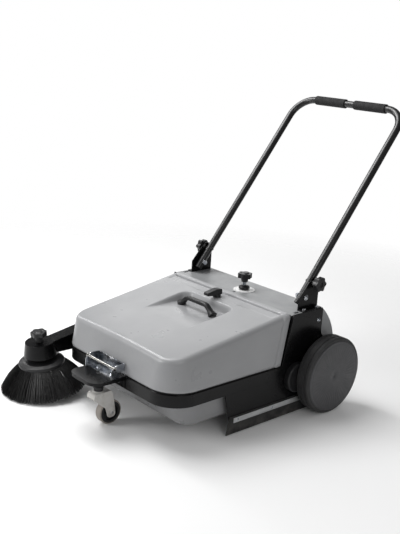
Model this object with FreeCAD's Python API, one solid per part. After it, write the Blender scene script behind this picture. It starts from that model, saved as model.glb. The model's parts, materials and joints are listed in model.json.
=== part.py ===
"""Walk-behind sweeper: a hand-pushed machine with a main roller brush, a side brush and a lift-out hopper.

Each sub-part is written to parts/NAME.step.  The model is drawn in a working frame (x to the machine's left,
y towards the handle, z up, with the floor under the middle of the wheel axle as its zero), and every piece is
shifted at the end so that the origin is on the floor, in the middle of the whole machine's bounding box.
"""

import FreeCAD, Part
import math
import os
from FreeCAD import Vector

# ---- driving dimensions, mm and degrees ------------------------------------------------------------------

WHEEL_R = 130.0            # tread radius, and the height of the axle
WHEEL_FACE = 360.0         # outer face of a wheel, from the middle of the machine
WHEEL_INNER = 307.0
AXLE_Y, AXLE_Z = 0.0, WHEEL_R
AXLE_R = 8.0

SHEET = 3.0                # steel sheet of the frame
CHEEK_X = 286.0            # outer face of the side plates
CHEEK_TOP_Y, DECK_Z = -152.0, 345.0
CHEEK_LEAN = 0.2165        # how far the front edge runs forward for each mm down

BAND_Z0, BAND_Z1 = 138.0, 180.0
BAND_FRONT, BAND_CORNER, BAND_WALL = -640.0, 95.0, 4.0
BAND_ROLL = 4.5            # radius of the rolled upper edge

BRUSH_Y, BRUSH_R = -112.0, 127.0
BRUSH_HALF = 244.0
BRUSH_CORE_R, SHAFT_R = 22.0, 10.0
BRISTLE_ROWS = 6

GEAR_MODULE, GEAR_TEETH, PINION_TEETH = 3.5, 48, 16
GEAR_X0, GEAR_X1 = 291.0, 301.0

ARM_X = 265.0              # middle of the carrier arms
CROSSBAR_Z = 290.0
ADJUST_Y = -85.0           # height screw, on the centre plane
ROD_R = 6.0

HOOD_HALF, HOOD_Z0, HOOD_WALL = 283.0, 184.0, 3.5
HOOD_REAR_Z, HOOD_SLOPE = 347.0, 0.157
HOOD_FRONT0, HOOD_FRONT1 = -638.0, -620.0
HOOD_TOP_REAR, HOOD_TOP_FRONT, HOOD_TOP_CORNER = 278.0, 261.0, 60.0
RECESS_HALF, RECESS_Y0, RECESS_Y1, RECESS_Z = 121.0, -450.0, -237.0, 305.0
LATCH_Y = -212.0
CARRY_Y, CARRY_HALF, CARRY_TOP = -300.0, 80.0, 348.0

TUB_HALF, TUB_Z = 268.0, 60.0
TUB_FRONT0, TUB_FRONT1, TUB_REAR = -557.0, -624.0, -252.0

HANDLE_X, TUBE_R, TUBE_WALL = 244.0, 12.5, 1.5
PIVOT_Y, PIVOT_Z = -66.0, 384.0
BAR_Y, BAR_Z = 394.0, 970.0
HANDLE_BEND = 80.0
STUD_REACH, TUBE_TAIL = 58.0, 27.0
BRACKET_X0, BRACKET_X1 = 259.0, 263.0
HANDLE_BACK_DEG, STUD_R, BOLT_R = 8.0, 4.5, 5.0
KNOB_R, KNOB_LOBES = 25.0, 6

CASTER_Y, CASTER_TRAIL, CASTER_R = -687.0, 40.0, 40.0
CASTER_AXLE_Y = CASTER_Y + CASTER_TRAIL
SHELF_Z0, SHELF_Z1 = 172.0, 176.0          # shelf that carries the caster and the front bracket
SHELF_HALF, SHELF_FRONT, SHELF_BOLT_Y = 72.0, -756.0, -664.0
BAR_R, BAR_FRONT, BAR_HEIGHT = 4.0, -680.0, 210.0

SIDE_X, SIDE_Y = -328.0, -692.0
SIDE_BRISTLE_R, SIDE_RING_R = 144.0, 76.0
HEAD_TILT, HEAD_Z = 7.0, 141.0          # forward tilt of the arm's head in degrees, and the height it tilts about
BRISTLE_Z = 17.5           # ends of the side bristles, measured before the tilt
ARM_HALF, ARM_Z0, ARM_Z1, ARM_WALL = 26.5, 134.0, 207.0, 2.5
ARM_PIVOT_Y, ARM_PIVOT_Z = -175.0, 150.0
BELT_X, BELT_R = -295.0, 4.0
WHEEL_PULLEY_R, IDLER_R, SPINDLE_R = 44.0, 22.0, 16.0

FLAP_Z = 4.0               # lower edge of the rubber flaps
RUN = 0.1                  # radial clearance of a running fit

# The whole machine's box, whose middle becomes the origin.
BOX_X0, BOX_X1 = SIDE_X - SIDE_BRISTLE_R, WHEEL_FACE
TILT_SIN, TILT_COS = math.sin(math.radians(HEAD_TILT)), math.cos(math.radians(HEAD_TILT))
BOX_Y0, BOX_Y1 = SIDE_Y + (HEAD_Z - BRISTLE_Z) * TILT_SIN - SIDE_BRISTLE_R * TILT_COS, BAR_Y + 16.5
ORIGIN = Vector((BOX_X0 + BOX_X1) / 2, (BOX_Y0 + BOX_Y1) / 2, 0)

X, Y, Z = Vector(1, 0, 0), Vector(0, 1, 0), Vector(0, 0, 1)


# ---- shape helpers ---------------------------------------------------------------------------------------

def in_yz(x):
    """Placer for outlines drawn as (y, z) in the plane at x."""
    return lambda a, b: Vector(x, a, b)


def in_xy(z):
    """Placer for outlines drawn as (x, y) in the plane at height z."""
    return lambda a, b: Vector(a, b, z)


def in_xz(y):
    """Placer for outlines drawn as (x, z) in the plane at y."""
    return lambda a, b: Vector(a, y, b)


def corner_arc(before, corner, after, radius):
    """The two tangent points and the middle of the arc that rounds a corner, as flat points."""
    back = (before - corner).normalize()
    ahead = (after - corner).normalize()
    half = back.getAngle(ahead) / 2
    bisector = (back + ahead).normalize()
    reach = radius / math.tan(half)
    middle = corner + bisector * (radius / math.sin(half) - radius)
    return corner + back * reach, middle, corner + ahead * reach


def rounded_wire(corners, place, closed=True):
    """Wire through (a, b, radius) corners, each rounded by an arc of its radius."""
    flat = [Vector(c[0], c[1], 0) for c in corners]
    radii = [c[2] if len(c) > 2 else 0.0 for c in corners]
    count = len(flat)
    put = lambda point: place(point.x, point.y)
    stops = []
    for i, corner in enumerate(flat):
        inner = closed or 0 < i < count - 1
        if radii[i] > 0 and inner:
            stops.append(corner_arc(flat[i - 1], corner, flat[(i + 1) % count], radii[i]))
        else:
            stops.append((corner, None, corner))
    edges = []
    for i, (start, middle, end) in enumerate(stops):
        if middle is not None:
            edges.append(Part.Arc(put(start), put(middle), put(end)).toShape())
        if i == count - 1 and not closed:
            break
        following = stops[(i + 1) % count][0]
        if (following - end).Length > 1e-6:
            edges.append(Part.LineSegment(put(end), put(following)).toShape())
    return Part.Wire(edges)


def prism(corners, place, along):
    """Solid from a rounded outline pushed along a vector."""
    return Part.Face(rounded_wire(corners, place)).extrude(along)


def plate_x(corners, x0, x1):
    return prism(corners, in_yz(x0), X * (x1 - x0))


def plate_z(corners, z0, z1):
    return prism(corners, in_xy(z0), Z * (z1 - z0))


def box(x0, x1, y0, y1, z0, z1):
    return Part.makeBox(x1 - x0, y1 - y0, z1 - z0, Vector(x0, y0, z0))


def rod_x(r, x0, x1, y, z):
    return Part.makeCylinder(r, x1 - x0, Vector(x0, y, z), X)


def rod_z(r, z0, z1, x, y):
    return Part.makeCylinder(r, z1 - z0, Vector(x, y, z0), Z)


def ring_x(outer, inner, x0, x1, y, z):
    return rod_x(outer, x0, x1, y, z).cut(rod_x(inner, x0 - 1, x1 + 1, y, z))


def ring_z(outer, inner, z0, z1, x, y):
    return rod_z(outer, z0, z1, x, y).cut(rod_z(inner, z0 - 1, z1 + 1, x, y))


def turned_x(profile, y, z):
    """Solid of revolution about the line along X through (y, z), from (x, radius, corner radius) points."""
    wire = rounded_wire(profile, lambda a, b: Vector(a, y, z + b))
    return Part.Face(wire).revolve(Vector(0, y, z), X, 360)


def turned_z(profile, x, y):
    """Solid of revolution about the vertical through (x, y), from (radius, z, corner radius) points."""
    wire = rounded_wire(profile, lambda a, b: Vector(x + a, y, b))
    return Part.Face(wire).revolve(Vector(x, y, 0), Z, 360)


def mirrored(shape):
    return shape.mirror(Vector(0, 0, 0), X)


def both_sides(shape):
    return Part.makeCompound([shape, mirrored(shape)])


def fused(first, *others):
    for other in others:
        first = first.fuse(other)
    return first.removeSplitter()


def less(shape, *tools):
    for tool in tools:
        shape = shape.cut(tool)
    return shape


def pipe(radius, path):
    """Round bar along a wire of tangent lines and arcs."""
    start = path.OrderedEdges[0]
    origin = start.valueAt(start.FirstParameter)
    heading = start.tangentAt(start.FirstParameter)
    section = Part.Wire(Part.makeCircle(radius, origin, heading))
    return path.makePipeShell([section], True, False)


def star_outline(radius, lobes, depth, place):
    """Closed smooth outline of a hand knob with lobes."""
    steps = lobes * 8
    points = []
    for i in range(steps):
        angle = 2 * math.pi * i / steps
        reach = radius - depth * (1 - math.cos(lobes * angle)) / 2
        points.append(place(reach * math.cos(angle), reach * math.sin(angle)))
    curve = Part.BSplineCurve()
    curve.interpolate(points, PeriodicFlag=True)
    return Part.Face(Part.Wire(curve.toShape()))


def involute(angle):
    return math.tan(angle) - angle


def gear_x(teeth, x0, x1, y, z, bore, phase):
    """Spur gear on an axis along X, with 20 degree involute flanks and short teeth."""
    pressure = math.radians(20)
    pitch = GEAR_MODULE * teeth / 2
    tip, root = pitch + 0.8 * GEAR_MODULE, pitch - 1.05 * GEAR_MODULE
    base = pitch * math.cos(pressure)
    backlash = 0.35
    half_pitch = math.pi / (2 * teeth) - backlash / (2 * pitch)
    flank_start = max(base, root)
    flank = [flank_start + (tip - flank_start) * i / 5 for i in range(6)]
    outline = []
    for tooth in range(teeth):
        centre = phase + 2 * math.pi * tooth / teeth
        rising, falling = [], []
        for radius in flank:
            slant = math.acos(min(1.0, base / radius))
            half = half_pitch + involute(pressure) - involute(slant)
            rising.append((radius, centre - half))
            falling.append((radius, centre + half))
        if root < base:
            rising.insert(0, (root, rising[0][1]))
            falling.insert(0, (root, falling[0][1]))
        outline += rising + falling[::-1]
    points = [Vector(x0, y + r * math.cos(a), z + r * math.sin(a)) for r, a in outline]
    body = Part.Face(Part.makePolygon(points + [points[0]])).extrude(X * (x1 - x0))
    return body.cut(rod_x(bore, x0 - 1, x1 + 1, y, z))


def cheek_edge(z):
    """Where the slanting front edge of a side plate lies at height z."""
    return CHEEK_TOP_Y - CHEEK_LEAN * (DECK_Z - z)


# ---- frame -----------------------------------------------------------------------------------------------

FRAME_BOLT = (-17.0, 306.0)
SKIRT_Z = 40.0


def side_plate(left):
    inner = CHEEK_X - SHEET
    outline = [(cheek_edge(SKIRT_Z), SKIRT_Z), (CHEEK_TOP_Y, DECK_Z), (0, DECK_Z, 5), (0, 262, 20),
               (48, 190, 30), (48, SKIRT_Z, 10)]
    plate = plate_x(outline, inner, CHEEK_X)
    flange = [(cheek_edge(182), 182), (CHEEK_TOP_Y, DECK_Z), (CHEEK_TOP_Y + SHEET, DECK_Z),
              (cheek_edge(182) + SHEET, 182)]
    plate = fused(plate, plate_x(flange, CHEEK_X, CHEEK_X + 8))
    holes = [rod_x(AXLE_R, inner - 1, CHEEK_X + 1, AXLE_Y, AXLE_Z),
             rod_x(4, inner - 1, CHEEK_X + 1, *FRAME_BOLT)]
    if left:
        holes.append(rod_x(23, inner - 1, CHEEK_X + 1, BRUSH_Y, AXLE_Z))
    plate = less(plate, *holes)
    return plate if left else mirrored(plate)


def skirt_panels():
    outline = [(-423, BAND_Z0), (cheek_edge(BAND_Z0), BAND_Z0), (cheek_edge(SKIRT_Z), SKIRT_Z), (-398, SKIRT_Z)]
    return both_sides(plate_x(outline, CHEEK_X - SHEET, CHEEK_X))


def u_outline(inset, rear):
    """Plan of the band: square at the rear, rounded at the two front corners."""
    side, front, radius = CHEEK_X - inset, BAND_FRONT + inset, BAND_CORNER - inset
    return [(-side, rear), (side, rear), (side, front, radius), (-side, front, radius)]


def bumper_band():
    rear = cheek_edge(BAND_Z1) + 2
    roll_z = BAND_Z1 - BAND_ROLL
    wall = plate_z(u_outline(0, rear), BAND_Z0, roll_z)
    wall = wall.cut(plate_z(u_outline(BAND_WALL, rear + 5), BAND_Z0 - 1, roll_z + 1))
    lower = plate_z(u_outline(BAND_WALL, rear), BAND_Z0, BAND_Z0 + SHEET)
    lower = lower.cut(plate_z(u_outline(13, rear + 5), BAND_Z0 - 1, BAND_Z0 + SHEET + 1))
    corners = u_outline(BAND_ROLL, rear)
    path = rounded_wire([corners[1], corners[2], corners[3], corners[0]], in_xy(roll_z), closed=False)
    band = fused(wall, lower, pipe(BAND_ROLL, path))
    behind = [(cheek_edge(BAND_Z0 - 9), BAND_Z0 - 9), (cheek_edge(BAND_Z1 + 9), BAND_Z1 + 9),
              (-100, BAND_Z1 + 9), (-100, BAND_Z0 - 9)]
    return band.cut(plate_x(behind, -CHEEK_X - 1, CHEEK_X + 1))


BRACKET_HOLES_Y = (-80.0, -24.0)
BRACKET_HOLE_X = 272.0


def top_deck():
    half = CHEEK_X - SHEET
    sheet = box(-half, half, CHEEK_TOP_Y + 2, 2, DECK_Z - SHEET, DECK_Z)
    front = box(-half, half, CHEEK_TOP_Y + 2, CHEEK_TOP_Y + 2 + SHEET, DECK_Z - 23, DECK_Z - SHEET)
    side = box(half - SHEET, half, CHEEK_TOP_Y + 2 + SHEET, -60, DECK_Z - 18, DECK_Z - SHEET)
    nut = rod_z(14, DECK_Z - 15, DECK_Z - SHEET, 0, ADJUST_Y)
    deck = fused(sheet, front, side, mirrored(side), nut)
    holes = [rod_z(ROD_R + 0.5, DECK_Z - 16, DECK_Z + 1, 0, ADJUST_Y),
             box(-3, 3, ADJUST_Y - 52, ADJUST_Y - 40, DECK_Z - SHEET - 1, DECK_Z + 1)]
    for x in (-BRACKET_HOLE_X, BRACKET_HOLE_X):
        holes.append(box(x - 5, x + 5, -126, -104, DECK_Z - SHEET - 1, DECK_Z + 1))
        for y in BRACKET_HOLES_Y:
            holes.append(rod_z(3, DECK_Z - SHEET - 1, DECK_Z + 1, x, y))
    return less(deck, *holes)


def cover_profile(inset, front):
    """Side view of the housing behind the brush: flat on top, one big curve down to the rear edge."""
    top = DECK_Z - SHEET - inset
    rear = COVER_REAR_Y - inset
    arc = Part.Arc(Vector(0, 2 - inset / 2, top), Vector(0, 51 - inset * 0.8, 282 - inset * 0.6),
                   Vector(0, rear, 190))
    low = SKIRT_Z if inset == 0 else SKIRT_Z - 1
    points = [Vector(0, rear, 190), Vector(0, rear, low), Vector(0, front, low), Vector(0, front, top),
              Vector(0, 2 - inset / 2, top)]
    edges = [arc.toShape()]
    edges += [Part.LineSegment(a, b).toShape() for a, b in zip(points, points[1:])]
    return Part.Face(Part.Wire(edges))


def rear_cover():
    half = CHEEK_X - SHEET
    outer = cover_profile(0, -60)
    outer.translate(Vector(-half, 0, 0))
    inner = cover_profile(SHEET, -61)
    inner.translate(Vector(SHEET - half, 0, 0))
    shell = outer.extrude(X * (2 * half)).cut(inner.extrude(X * (2 * (half - SHEET))))
    axle = rod_x(AXLE_R, -half - 1, half + 1, AXLE_Y, AXLE_Z)
    bolts = rod_x(4, -half - 1, half + 1, *FRAME_BOLT)
    return less(shell, axle, bolts)


def stub_axles():
    """Short axles bolted through the side plates; the machine has no axle across."""
    shaft = rod_x(AXLE_R, 254, 348, AXLE_Y, AXLE_Z)
    flange = rod_x(14, CHEEK_X, CHEEK_X + 3.5, AXLE_Y, AXLE_Z)
    inner_nut = prism(polygon_yz(12, 6, AXLE_Y, AXLE_Z), in_yz(248), X * 8)
    outer_nut = prism(polygon_yz(12, 6, AXLE_Y, AXLE_Z), in_yz(345), X * 7)
    return both_sides(fused(shaft, flange, inner_nut, outer_nut))


def polygon_yz(radius, sides, y, z):
    return [(y + radius * math.cos(2 * math.pi * i / sides), z + radius * math.sin(2 * math.pi * i / sides))
            for i in range(sides)]


def frame_screws():
    """Hexagon bolts of the frame, one solid each: side plates, bracket feet, front bracket and flap strips."""
    screws = []
    for side in (1, -1):
        head = dome_x(8, 4, CHEEK_X, *FRAME_BOLT).fuse(rod_x(4, CHEEK_X - 2 * SHEET, CHEEK_X, *FRAME_BOLT))
        strip = [dome_x(4, 2, STRIP_X1, y, STRIP_Z) for y in (-366, -215, -75)]
        group = [head] + strip
        screws += group if side > 0 else [mirrored(s) for s in group]
        for y in BRACKET_HOLES_Y:
            x = side * BRACKET_HOLE_X
            head = rod_z(6, DECK_Z + 4, DECK_Z + 8, x, y)
            screws.append(head.fuse(rod_z(3, DECK_Z - SHEET, DECK_Z + 4, x, y)))
    for x in (-44, -15, 15, 44):
        head = Part.makeCylinder(6, 4, Vector(x, BAND_FRONT - 7, 156), Y)
        screws.append(head)
    for x in (-35, 35):
        head = rod_z(6, SHELF_Z1 + 3, SHELF_Z1 + 7, x, SHELF_BOLT_Y)
        screws.append(head.fuse(rod_z(3, SHELF_Z0, SHELF_Z1 + 3, x, SHELF_BOLT_Y)))
    return Part.makeCompound(screws)


def dome_x(radius, height, x, y, z):
    """Low domed screw head standing out of a face at x."""
    bulge = (radius * radius + height * height) / (2 * height)
    ball = Part.makeSphere(bulge, Vector(x + height - bulge, y, z))
    return ball.common(rod_x(radius, x, x + height, y, z))


STRIP_X1, STRIP_Z = 291.0, 48.0
COVER_REAR_Y = 73.0


def side_flaps():
    outline = [(-400, 62), (44, 62), (44, FLAP_Z), (-411, FLAP_Z)]
    return both_sides(plate_x(outline, CHEEK_X, CHEEK_X + SHEET))


def rear_flap():
    return box(-278, 278, COVER_REAR_Y, COVER_REAR_Y + SHEET, FLAP_Z, 66)


def flap_strips():
    thick = STRIP_X1 - CHEEK_X - SHEET
    side = box(CHEEK_X + SHEET, STRIP_X1, -384, -56, STRIP_Z - 8, STRIP_Z + 8)
    behind = COVER_REAR_Y + SHEET
    rear = box(-274, 274, behind, behind + thick, STRIP_Z, STRIP_Z + 16)
    return Part.makeCompound([side, mirrored(side), rear])


def drive_cover():
    """Round cover over the brush pinion, cut away where the wheel's gear reaches in."""
    outer = turned_x([(CHEEK_X, 0), (CHEEK_X, 50), (305.5, 50, 6), (305.5, 0)], BRUSH_Y, AXLE_Z)
    inner = rod_x(47.5, CHEEK_X - 1, 303.5, BRUSH_Y, AXLE_Z)
    gear = rod_x(91, CHEEK_X - 1, 303.5, AXLE_Y, AXLE_Z)
    return less(outer, inner, gear)


def handle_bracket():
    knob_y, knob_z = along_tube(STUD_REACH)
    outline = [(-98, DECK_Z), (-98, 386, 6), (knob_y - 19, knob_z + 12, 8), (knob_y + 2, knob_z + 22, 12),
               (knob_y + 22, knob_z + 4, 14), (-6, 406, 10), (-6, DECK_Z)]
    plate = plate_x(outline, BRACKET_X0, BRACKET_X1)
    foot = box(BRACKET_X1, CHEEK_X - 4, -98, -6, DECK_Z, DECK_Z + 4)
    pivot = rod_x(BOLT_R + RUN, BRACKET_X0 - 1, BRACKET_X1 + 1, PIVOT_Y, PIVOT_Z)
    screws = [rod_z(3, DECK_Z - 1, DECK_Z + 5, BRACKET_HOLE_X, y) for y in BRACKET_HOLES_Y]
    return less(fused(plate, foot), pivot, stud_slot(), *screws)


def stud_slot():
    """Arc slot that the clamping stud runs in; it is open at the front, so the handle can fold right down."""
    width = STUD_R + 0.8
    start = tube_angle() - math.radians(HANDLE_BACK_DEG)
    reach = math.radians(75)
    outer, inner = STUD_REACH + width, STUD_REACH - width
    at = lambda radius, angle: Vector(BRACKET_X0 - 1, PIVOT_Y + radius * math.cos(angle),
                                      PIVOT_Z + radius * math.sin(angle))
    edges = [Part.Arc(at(outer, start), at(outer, start + reach / 2), at(outer, start + reach)),
             Part.LineSegment(at(outer, start + reach), at(inner, start + reach)),
             Part.Arc(at(inner, start + reach), at(inner, start + reach / 2), at(inner, start)),
             Part.LineSegment(at(inner, start), at(outer, start))]
    thick = BRACKET_X1 - BRACKET_X0 + 2
    slot = Part.Face(Part.Wire([e.toShape() for e in edges])).extrude(X * thick)
    end = at(STUD_REACH, start)
    return slot.fuse(Part.makeCylinder(width, thick, end, X))


def front_bracket():
    """Zinc-plated channel bolted to the caster shelf: a back, a floor and two rounded ears that hold the bar."""
    face = BAND_FRONT - 3
    back = prism([(-68, SHELF_Z1), (68, SHELF_Z1), (68, 218, 4), (-68, 218, 4)], in_xz(face), Y * 3)
    ear = plate_x([(face + 1, SHELF_Z1), (face + 1, 218, 3), (face - 29, 218, 14), (face - 47, 205, 12),
                   (face - 47, SHELF_Z1)], 65, 68)
    floor = box(-68, 68, face - 40, face + 1, SHELF_Z1, SHELF_Z1 + 3)
    bracket = fused(back, floor, ear, mirrored(ear))
    bracket = less(bracket, rod_z(3, SHELF_Z0, SHELF_Z1 + 4, -35, SHELF_BOLT_Y),
                   rod_z(3, SHELF_Z0, SHELF_Z1 + 4, 35, SHELF_BOLT_Y))
    return bracket.cut(rod_x(BAR_R, -70, 70, BAR_FRONT, BAR_HEIGHT))


def front_bar():
    bar = rod_x(BAR_R, -71, 71, BAR_FRONT, BAR_HEIGHT)
    end = rod_x(6, 68, 71, BAR_FRONT, BAR_HEIGHT)
    return fused(bar, end, mirrored(end))


def caster_plate():
    """Pressed shelf with a folded rim, on a flange that is bolted to the front of the band."""
    rear = BAND_FRONT
    shelf = plate_z([(-SHELF_HALF, rear), (-SHELF_HALF, SHELF_FRONT, 38), (SHELF_HALF, SHELF_FRONT, 38),
                     (SHELF_HALF, rear)], SHELF_Z0 - 6, SHELF_Z1)
    under = plate_z([(-SHELF_HALF + 3, rear - 3), (-SHELF_HALF + 3, SHELF_FRONT + 3, 35),
                     (SHELF_HALF - 3, SHELF_FRONT + 3, 35), (SHELF_HALF - 3, rear - 3)], SHELF_Z0 - 7, SHELF_Z0)
    flange = box(-SHELF_HALF, SHELF_HALF, rear - 3, rear, BAND_Z0 + 3, SHELF_Z0)
    shelf = fused(less(shelf, under), flange)
    return less(shelf, rod_z(9, SHELF_Z0 - 1, SHELF_Z1 + 1, 0, CASTER_Y), rod_z(3, SHELF_Z0 - 1, SHELF_Z1 + 1, -35, SHELF_BOLT_Y),
                rod_z(3, SHELF_Z0 - 1, SHELF_Z1 + 1, 35, SHELF_BOLT_Y))


def caster_collar():
    """Swivel bearing under the shelf, on a long stem."""
    housing = turned_z([(8.5, 97), (22, 97), (22, 108, 3), (15, 114, 3), (15, SHELF_Z0), (8.5, SHELF_Z0)],
                       0, CASTER_Y)
    stem = rod_z(9, 92, SHELF_Z1, 0, CASTER_Y)
    return fused(housing, stem)


def latch_bracket():
    """Tongue that carries the socket of the hopper latch, under the rear edge of the hood."""
    tongue = box(-30, 30, LATCH_Y - 17, CHEEK_TOP_Y + 5, 311, 315)
    upright = box(-30, 30, CHEEK_TOP_Y + 5, CHEEK_TOP_Y + 9, 311, DECK_Z - SHEET)
    socket = rod_z(15, 292, 311, 0, LATCH_Y)
    hollow = rod_z(12, 295, 316, 0, LATCH_Y)
    return fused(tongue, upright, socket).cut(hollow)


def adjuster_ring():
    """Pale scale ring under the height knob, raised a millimetre from the deck."""
    return ring_z(38, ROD_R + 1, DECK_Z, DECK_Z + 1, 0, ADJUST_Y)


def arm_pivot():
    """Bracket and pin on the right side plate that the side brush arm swings on."""
    base = rod_x(24, CHEEK_X, CHEEK_X + 3, ARM_PIVOT_Y, ARM_PIVOT_Z)
    base = base.cut(plate_x([(cheek_edge(120) - 60, 120), (cheek_edge(120), 120), (cheek_edge(200), 200),
                             (cheek_edge(200) - 60, 200)], CHEEK_X - 1, CHEEK_X + 0.0001))
    pin = rod_x(7, CHEEK_X, 362, ARM_PIVOT_Y, ARM_PIVOT_Z)
    nut = prism(polygon_yz(11, 6, ARM_PIVOT_Y, ARM_PIVOT_Z), in_yz(356), X * 6)
    return mirrored(fused(base, pin, nut))


def open_belt(y0, z0, r0, y1, z1, r1, x0, x1):
    """Flat band round two circles, built from its outer shape less its inner one."""
    def loop(extra):
        length = math.hypot(y1 - y0, z1 - z0)
        heading = math.atan2(z1 - z0, y1 - y0)
        lean = math.acos((r0 - r1) / length)
        at = lambda cy, cz, r, a: Vector(x0, cy + r * math.cos(a), cz + r * math.sin(a))
        big, small = r0 + extra, r1 + extra
        up, down = heading + lean, heading - lean
        edges = [Part.LineSegment(at(y0, z0, big, up), at(y1, z1, small, up)),
                 Part.Arc(at(y1, z1, small, up), at(y1, z1, small, heading), at(y1, z1, small, down)),
                 Part.LineSegment(at(y1, z1, small, down), at(y0, z0, big, down)),
                 Part.Arc(at(y0, z0, big, down), at(y0, z0, big, heading + math.pi), at(y0, z0, big, up))]
        return Part.Face(Part.Wire([e.toShape() for e in edges])).extrude(X * (x1 - x0))
    return loop(BELT_R).cut(loop(0.0))


def side_drive_belt():
    """Belt from the right wheel's pulley to the pulley on the arm's pin."""
    return open_belt(AXLE_Y, AXLE_Z, WHEEL_PULLEY_R, ARM_PIVOT_Y, ARM_PIVOT_Z, IDLER_R, BELT_X - 4, BELT_X + 4)


# ---- brush carrier and main brush ------------------------------------------------------------------------

def carrier_arms():
    outline = [(24, 108, 20), (-142, 102, 24), (-142, 156, 24), (ADJUST_Y - 28, CROSSBAR_Z, 4),
               (ADJUST_Y + 18, CROSSBAR_Z, 4), (24, 160, 22)]
    arm = plate_x(outline, ARM_X - 3, ARM_X + 3)
    arm = less(arm, rod_x(AXLE_R + RUN, ARM_X - 4, ARM_X + 4, AXLE_Y, AXLE_Z),
               rod_x(16, ARM_X - 4, ARM_X + 4, BRUSH_Y, AXLE_Z))
    return both_sides(arm)


def carrier_crossbar():
    half = ARM_X - 3
    bar = box(-half, half, ADJUST_Y - 28, ADJUST_Y + 18, CROSSBAR_Z - 3, CROSSBAR_Z)
    rib = box(-half, half, ADJUST_Y + 15, ADJUST_Y + 18, CROSSBAR_Z - 18, CROSSBAR_Z - 3)
    slot = plate_z([(-7, ADJUST_Y - 21, 6.9), (7, ADJUST_Y - 21, 6.9), (7, ADJUST_Y + 13, 6.9),
                    (-7, ADJUST_Y + 13, 6.9)], CROSSBAR_Z - 4, CROSSBAR_Z + 1)
    return fused(bar, rib).cut(slot)


def brush_bearings():
    ring = fused(rod_x(16, ARM_X - 5, ARM_X + 3, BRUSH_Y, AXLE_Z), rod_x(23, ARM_X + 3, ARM_X + 6, BRUSH_Y, AXLE_Z))
    return both_sides(ring.cut(rod_x(SHAFT_R + RUN, ARM_X - 6, ARM_X + 7, BRUSH_Y, AXLE_Z)))


def brush_core():
    tube = rod_x(BRUSH_CORE_R, -BRUSH_HALF - 4, BRUSH_HALF + 4, BRUSH_Y, AXLE_Z)
    shaft = rod_x(SHAFT_R, -ARM_X - 8, 303, BRUSH_Y, AXLE_Z)
    return fused(tube, shaft)


def bristle_blade(turn, x0, x1, twist0, twist1):
    """Half of one V-shaped row of bristles, as a thin twisted blade."""
    def section(x, angle):
        corners = [(BRUSH_CORE_R + 0.5, -4), (BRUSH_R, -6), (BRUSH_R, 6), (BRUSH_CORE_R + 0.5, 4)]
        cos, sin = math.cos(angle), math.sin(angle)
        points = [Vector(x, BRUSH_Y + a * cos - b * sin, AXLE_Z + a * sin + b * cos) for a, b in corners]
        return Part.makePolygon(points + [points[0]])
    return Part.makeLoft([section(x0, turn + twist0), section(x1, turn + twist1)], True, True)


def main_bristles():
    sweep = math.radians(28)
    blades = []
    for row in range(BRISTLE_ROWS):
        turn = 2 * math.pi * row / BRISTLE_ROWS + math.radians(15)
        blades.append(bristle_blade(turn, -BRUSH_HALF, 0, 0, sweep))
        blades.append(bristle_blade(turn, 0, BRUSH_HALF, sweep, 0))
    hub = ring_x(BRUSH_CORE_R + 4, BRUSH_CORE_R, -BRUSH_HALF, BRUSH_HALF, BRUSH_Y, AXLE_Z)
    return fused(hub, *blades)


def brush_pinion():
    # A tooth gap of the pinion faces a tooth of the wheel gear along the line of centres.
    phase = math.pi / PINION_TEETH
    return gear_x(PINION_TEETH, GEAR_X0, GEAR_X1 + 1, BRUSH_Y, AXLE_Z, SHAFT_R, phase)


# ---- wheels ----------------------------------------------------------------------------------------------

RIM_R, HUB_R = 108.0, 20.0


def tyre():
    inner, outer = WHEEL_INNER, WHEEL_FACE - 3
    profile = [(inner, RIM_R), (inner, WHEEL_R, 7), (320, WHEEL_R), (320, WHEEL_R - 2), (323, WHEEL_R - 2),
               (323, WHEEL_R), (341, WHEEL_R), (341, WHEEL_R - 2), (344, WHEEL_R - 2), (344, WHEEL_R),
               (outer, WHEEL_R, 7), (outer, RIM_R)]
    return turned_x(profile, AXLE_Y, AXLE_Z)


def wheel_rim():
    bore = AXLE_R + RUN
    profile = [(290, bore), (290, HUB_R), (317, HUB_R), (317, 99), (310, 99), (310, RIM_R), (354, RIM_R),
               (354, 101), (323, 101), (323, HUB_R), (343, HUB_R), (343, bore)]
    return turned_x(profile, AXLE_Y, AXLE_Z)


def wheel_cover():
    """Snap-on plastic disc that closes the outside of the wheel."""
    face = WHEEL_FACE
    profile = [(face - 3, 0), (face - 3, 92), (face - 20, 92), (face - 20, 96), (face - 3, 96), (face - 3, 119),
               (face - 1.5, 120, 1), (face, 112, 6), (face, 30, 10), (face - 1.2, 0)]
    return turned_x(profile, AXLE_Y, AXLE_Z)


def drive_gear():
    return gear_x(GEAR_TEETH, GEAR_X0, GEAR_X1, AXLE_Y, AXLE_Z, HUB_R, math.pi)


def grooved_pulley(radius, bore, x0, x1, y, z):
    """Flat belt pulley with two low flanges."""
    profile = [(x0, bore), (x0, radius + 3), (x0 + 1, radius + 3), (x0 + 1, radius - 0.4), (x1 - 1, radius - 0.4),
               (x1 - 1, radius + 3), (x1, radius + 3), (x1, bore)]
    return turned_x(profile, y, z)


def drive_pulley():
    return grooved_pulley(WHEEL_PULLEY_R, HUB_R, BELT_X - 5.5, BELT_X + 5, AXLE_Y, AXLE_Z)


# ---- handle ----------------------------------------------------------------------------------------------

def tube_angle():
    return math.atan2(BAR_Z - PIVOT_Z, BAR_Y - PIVOT_Y)


def along_tube(distance):
    """Point (y, z) on a leg of the handle, measured from its pivot."""
    return PIVOT_Y + distance * math.cos(tube_angle()), PIVOT_Z + distance * math.sin(tube_angle())


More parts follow.
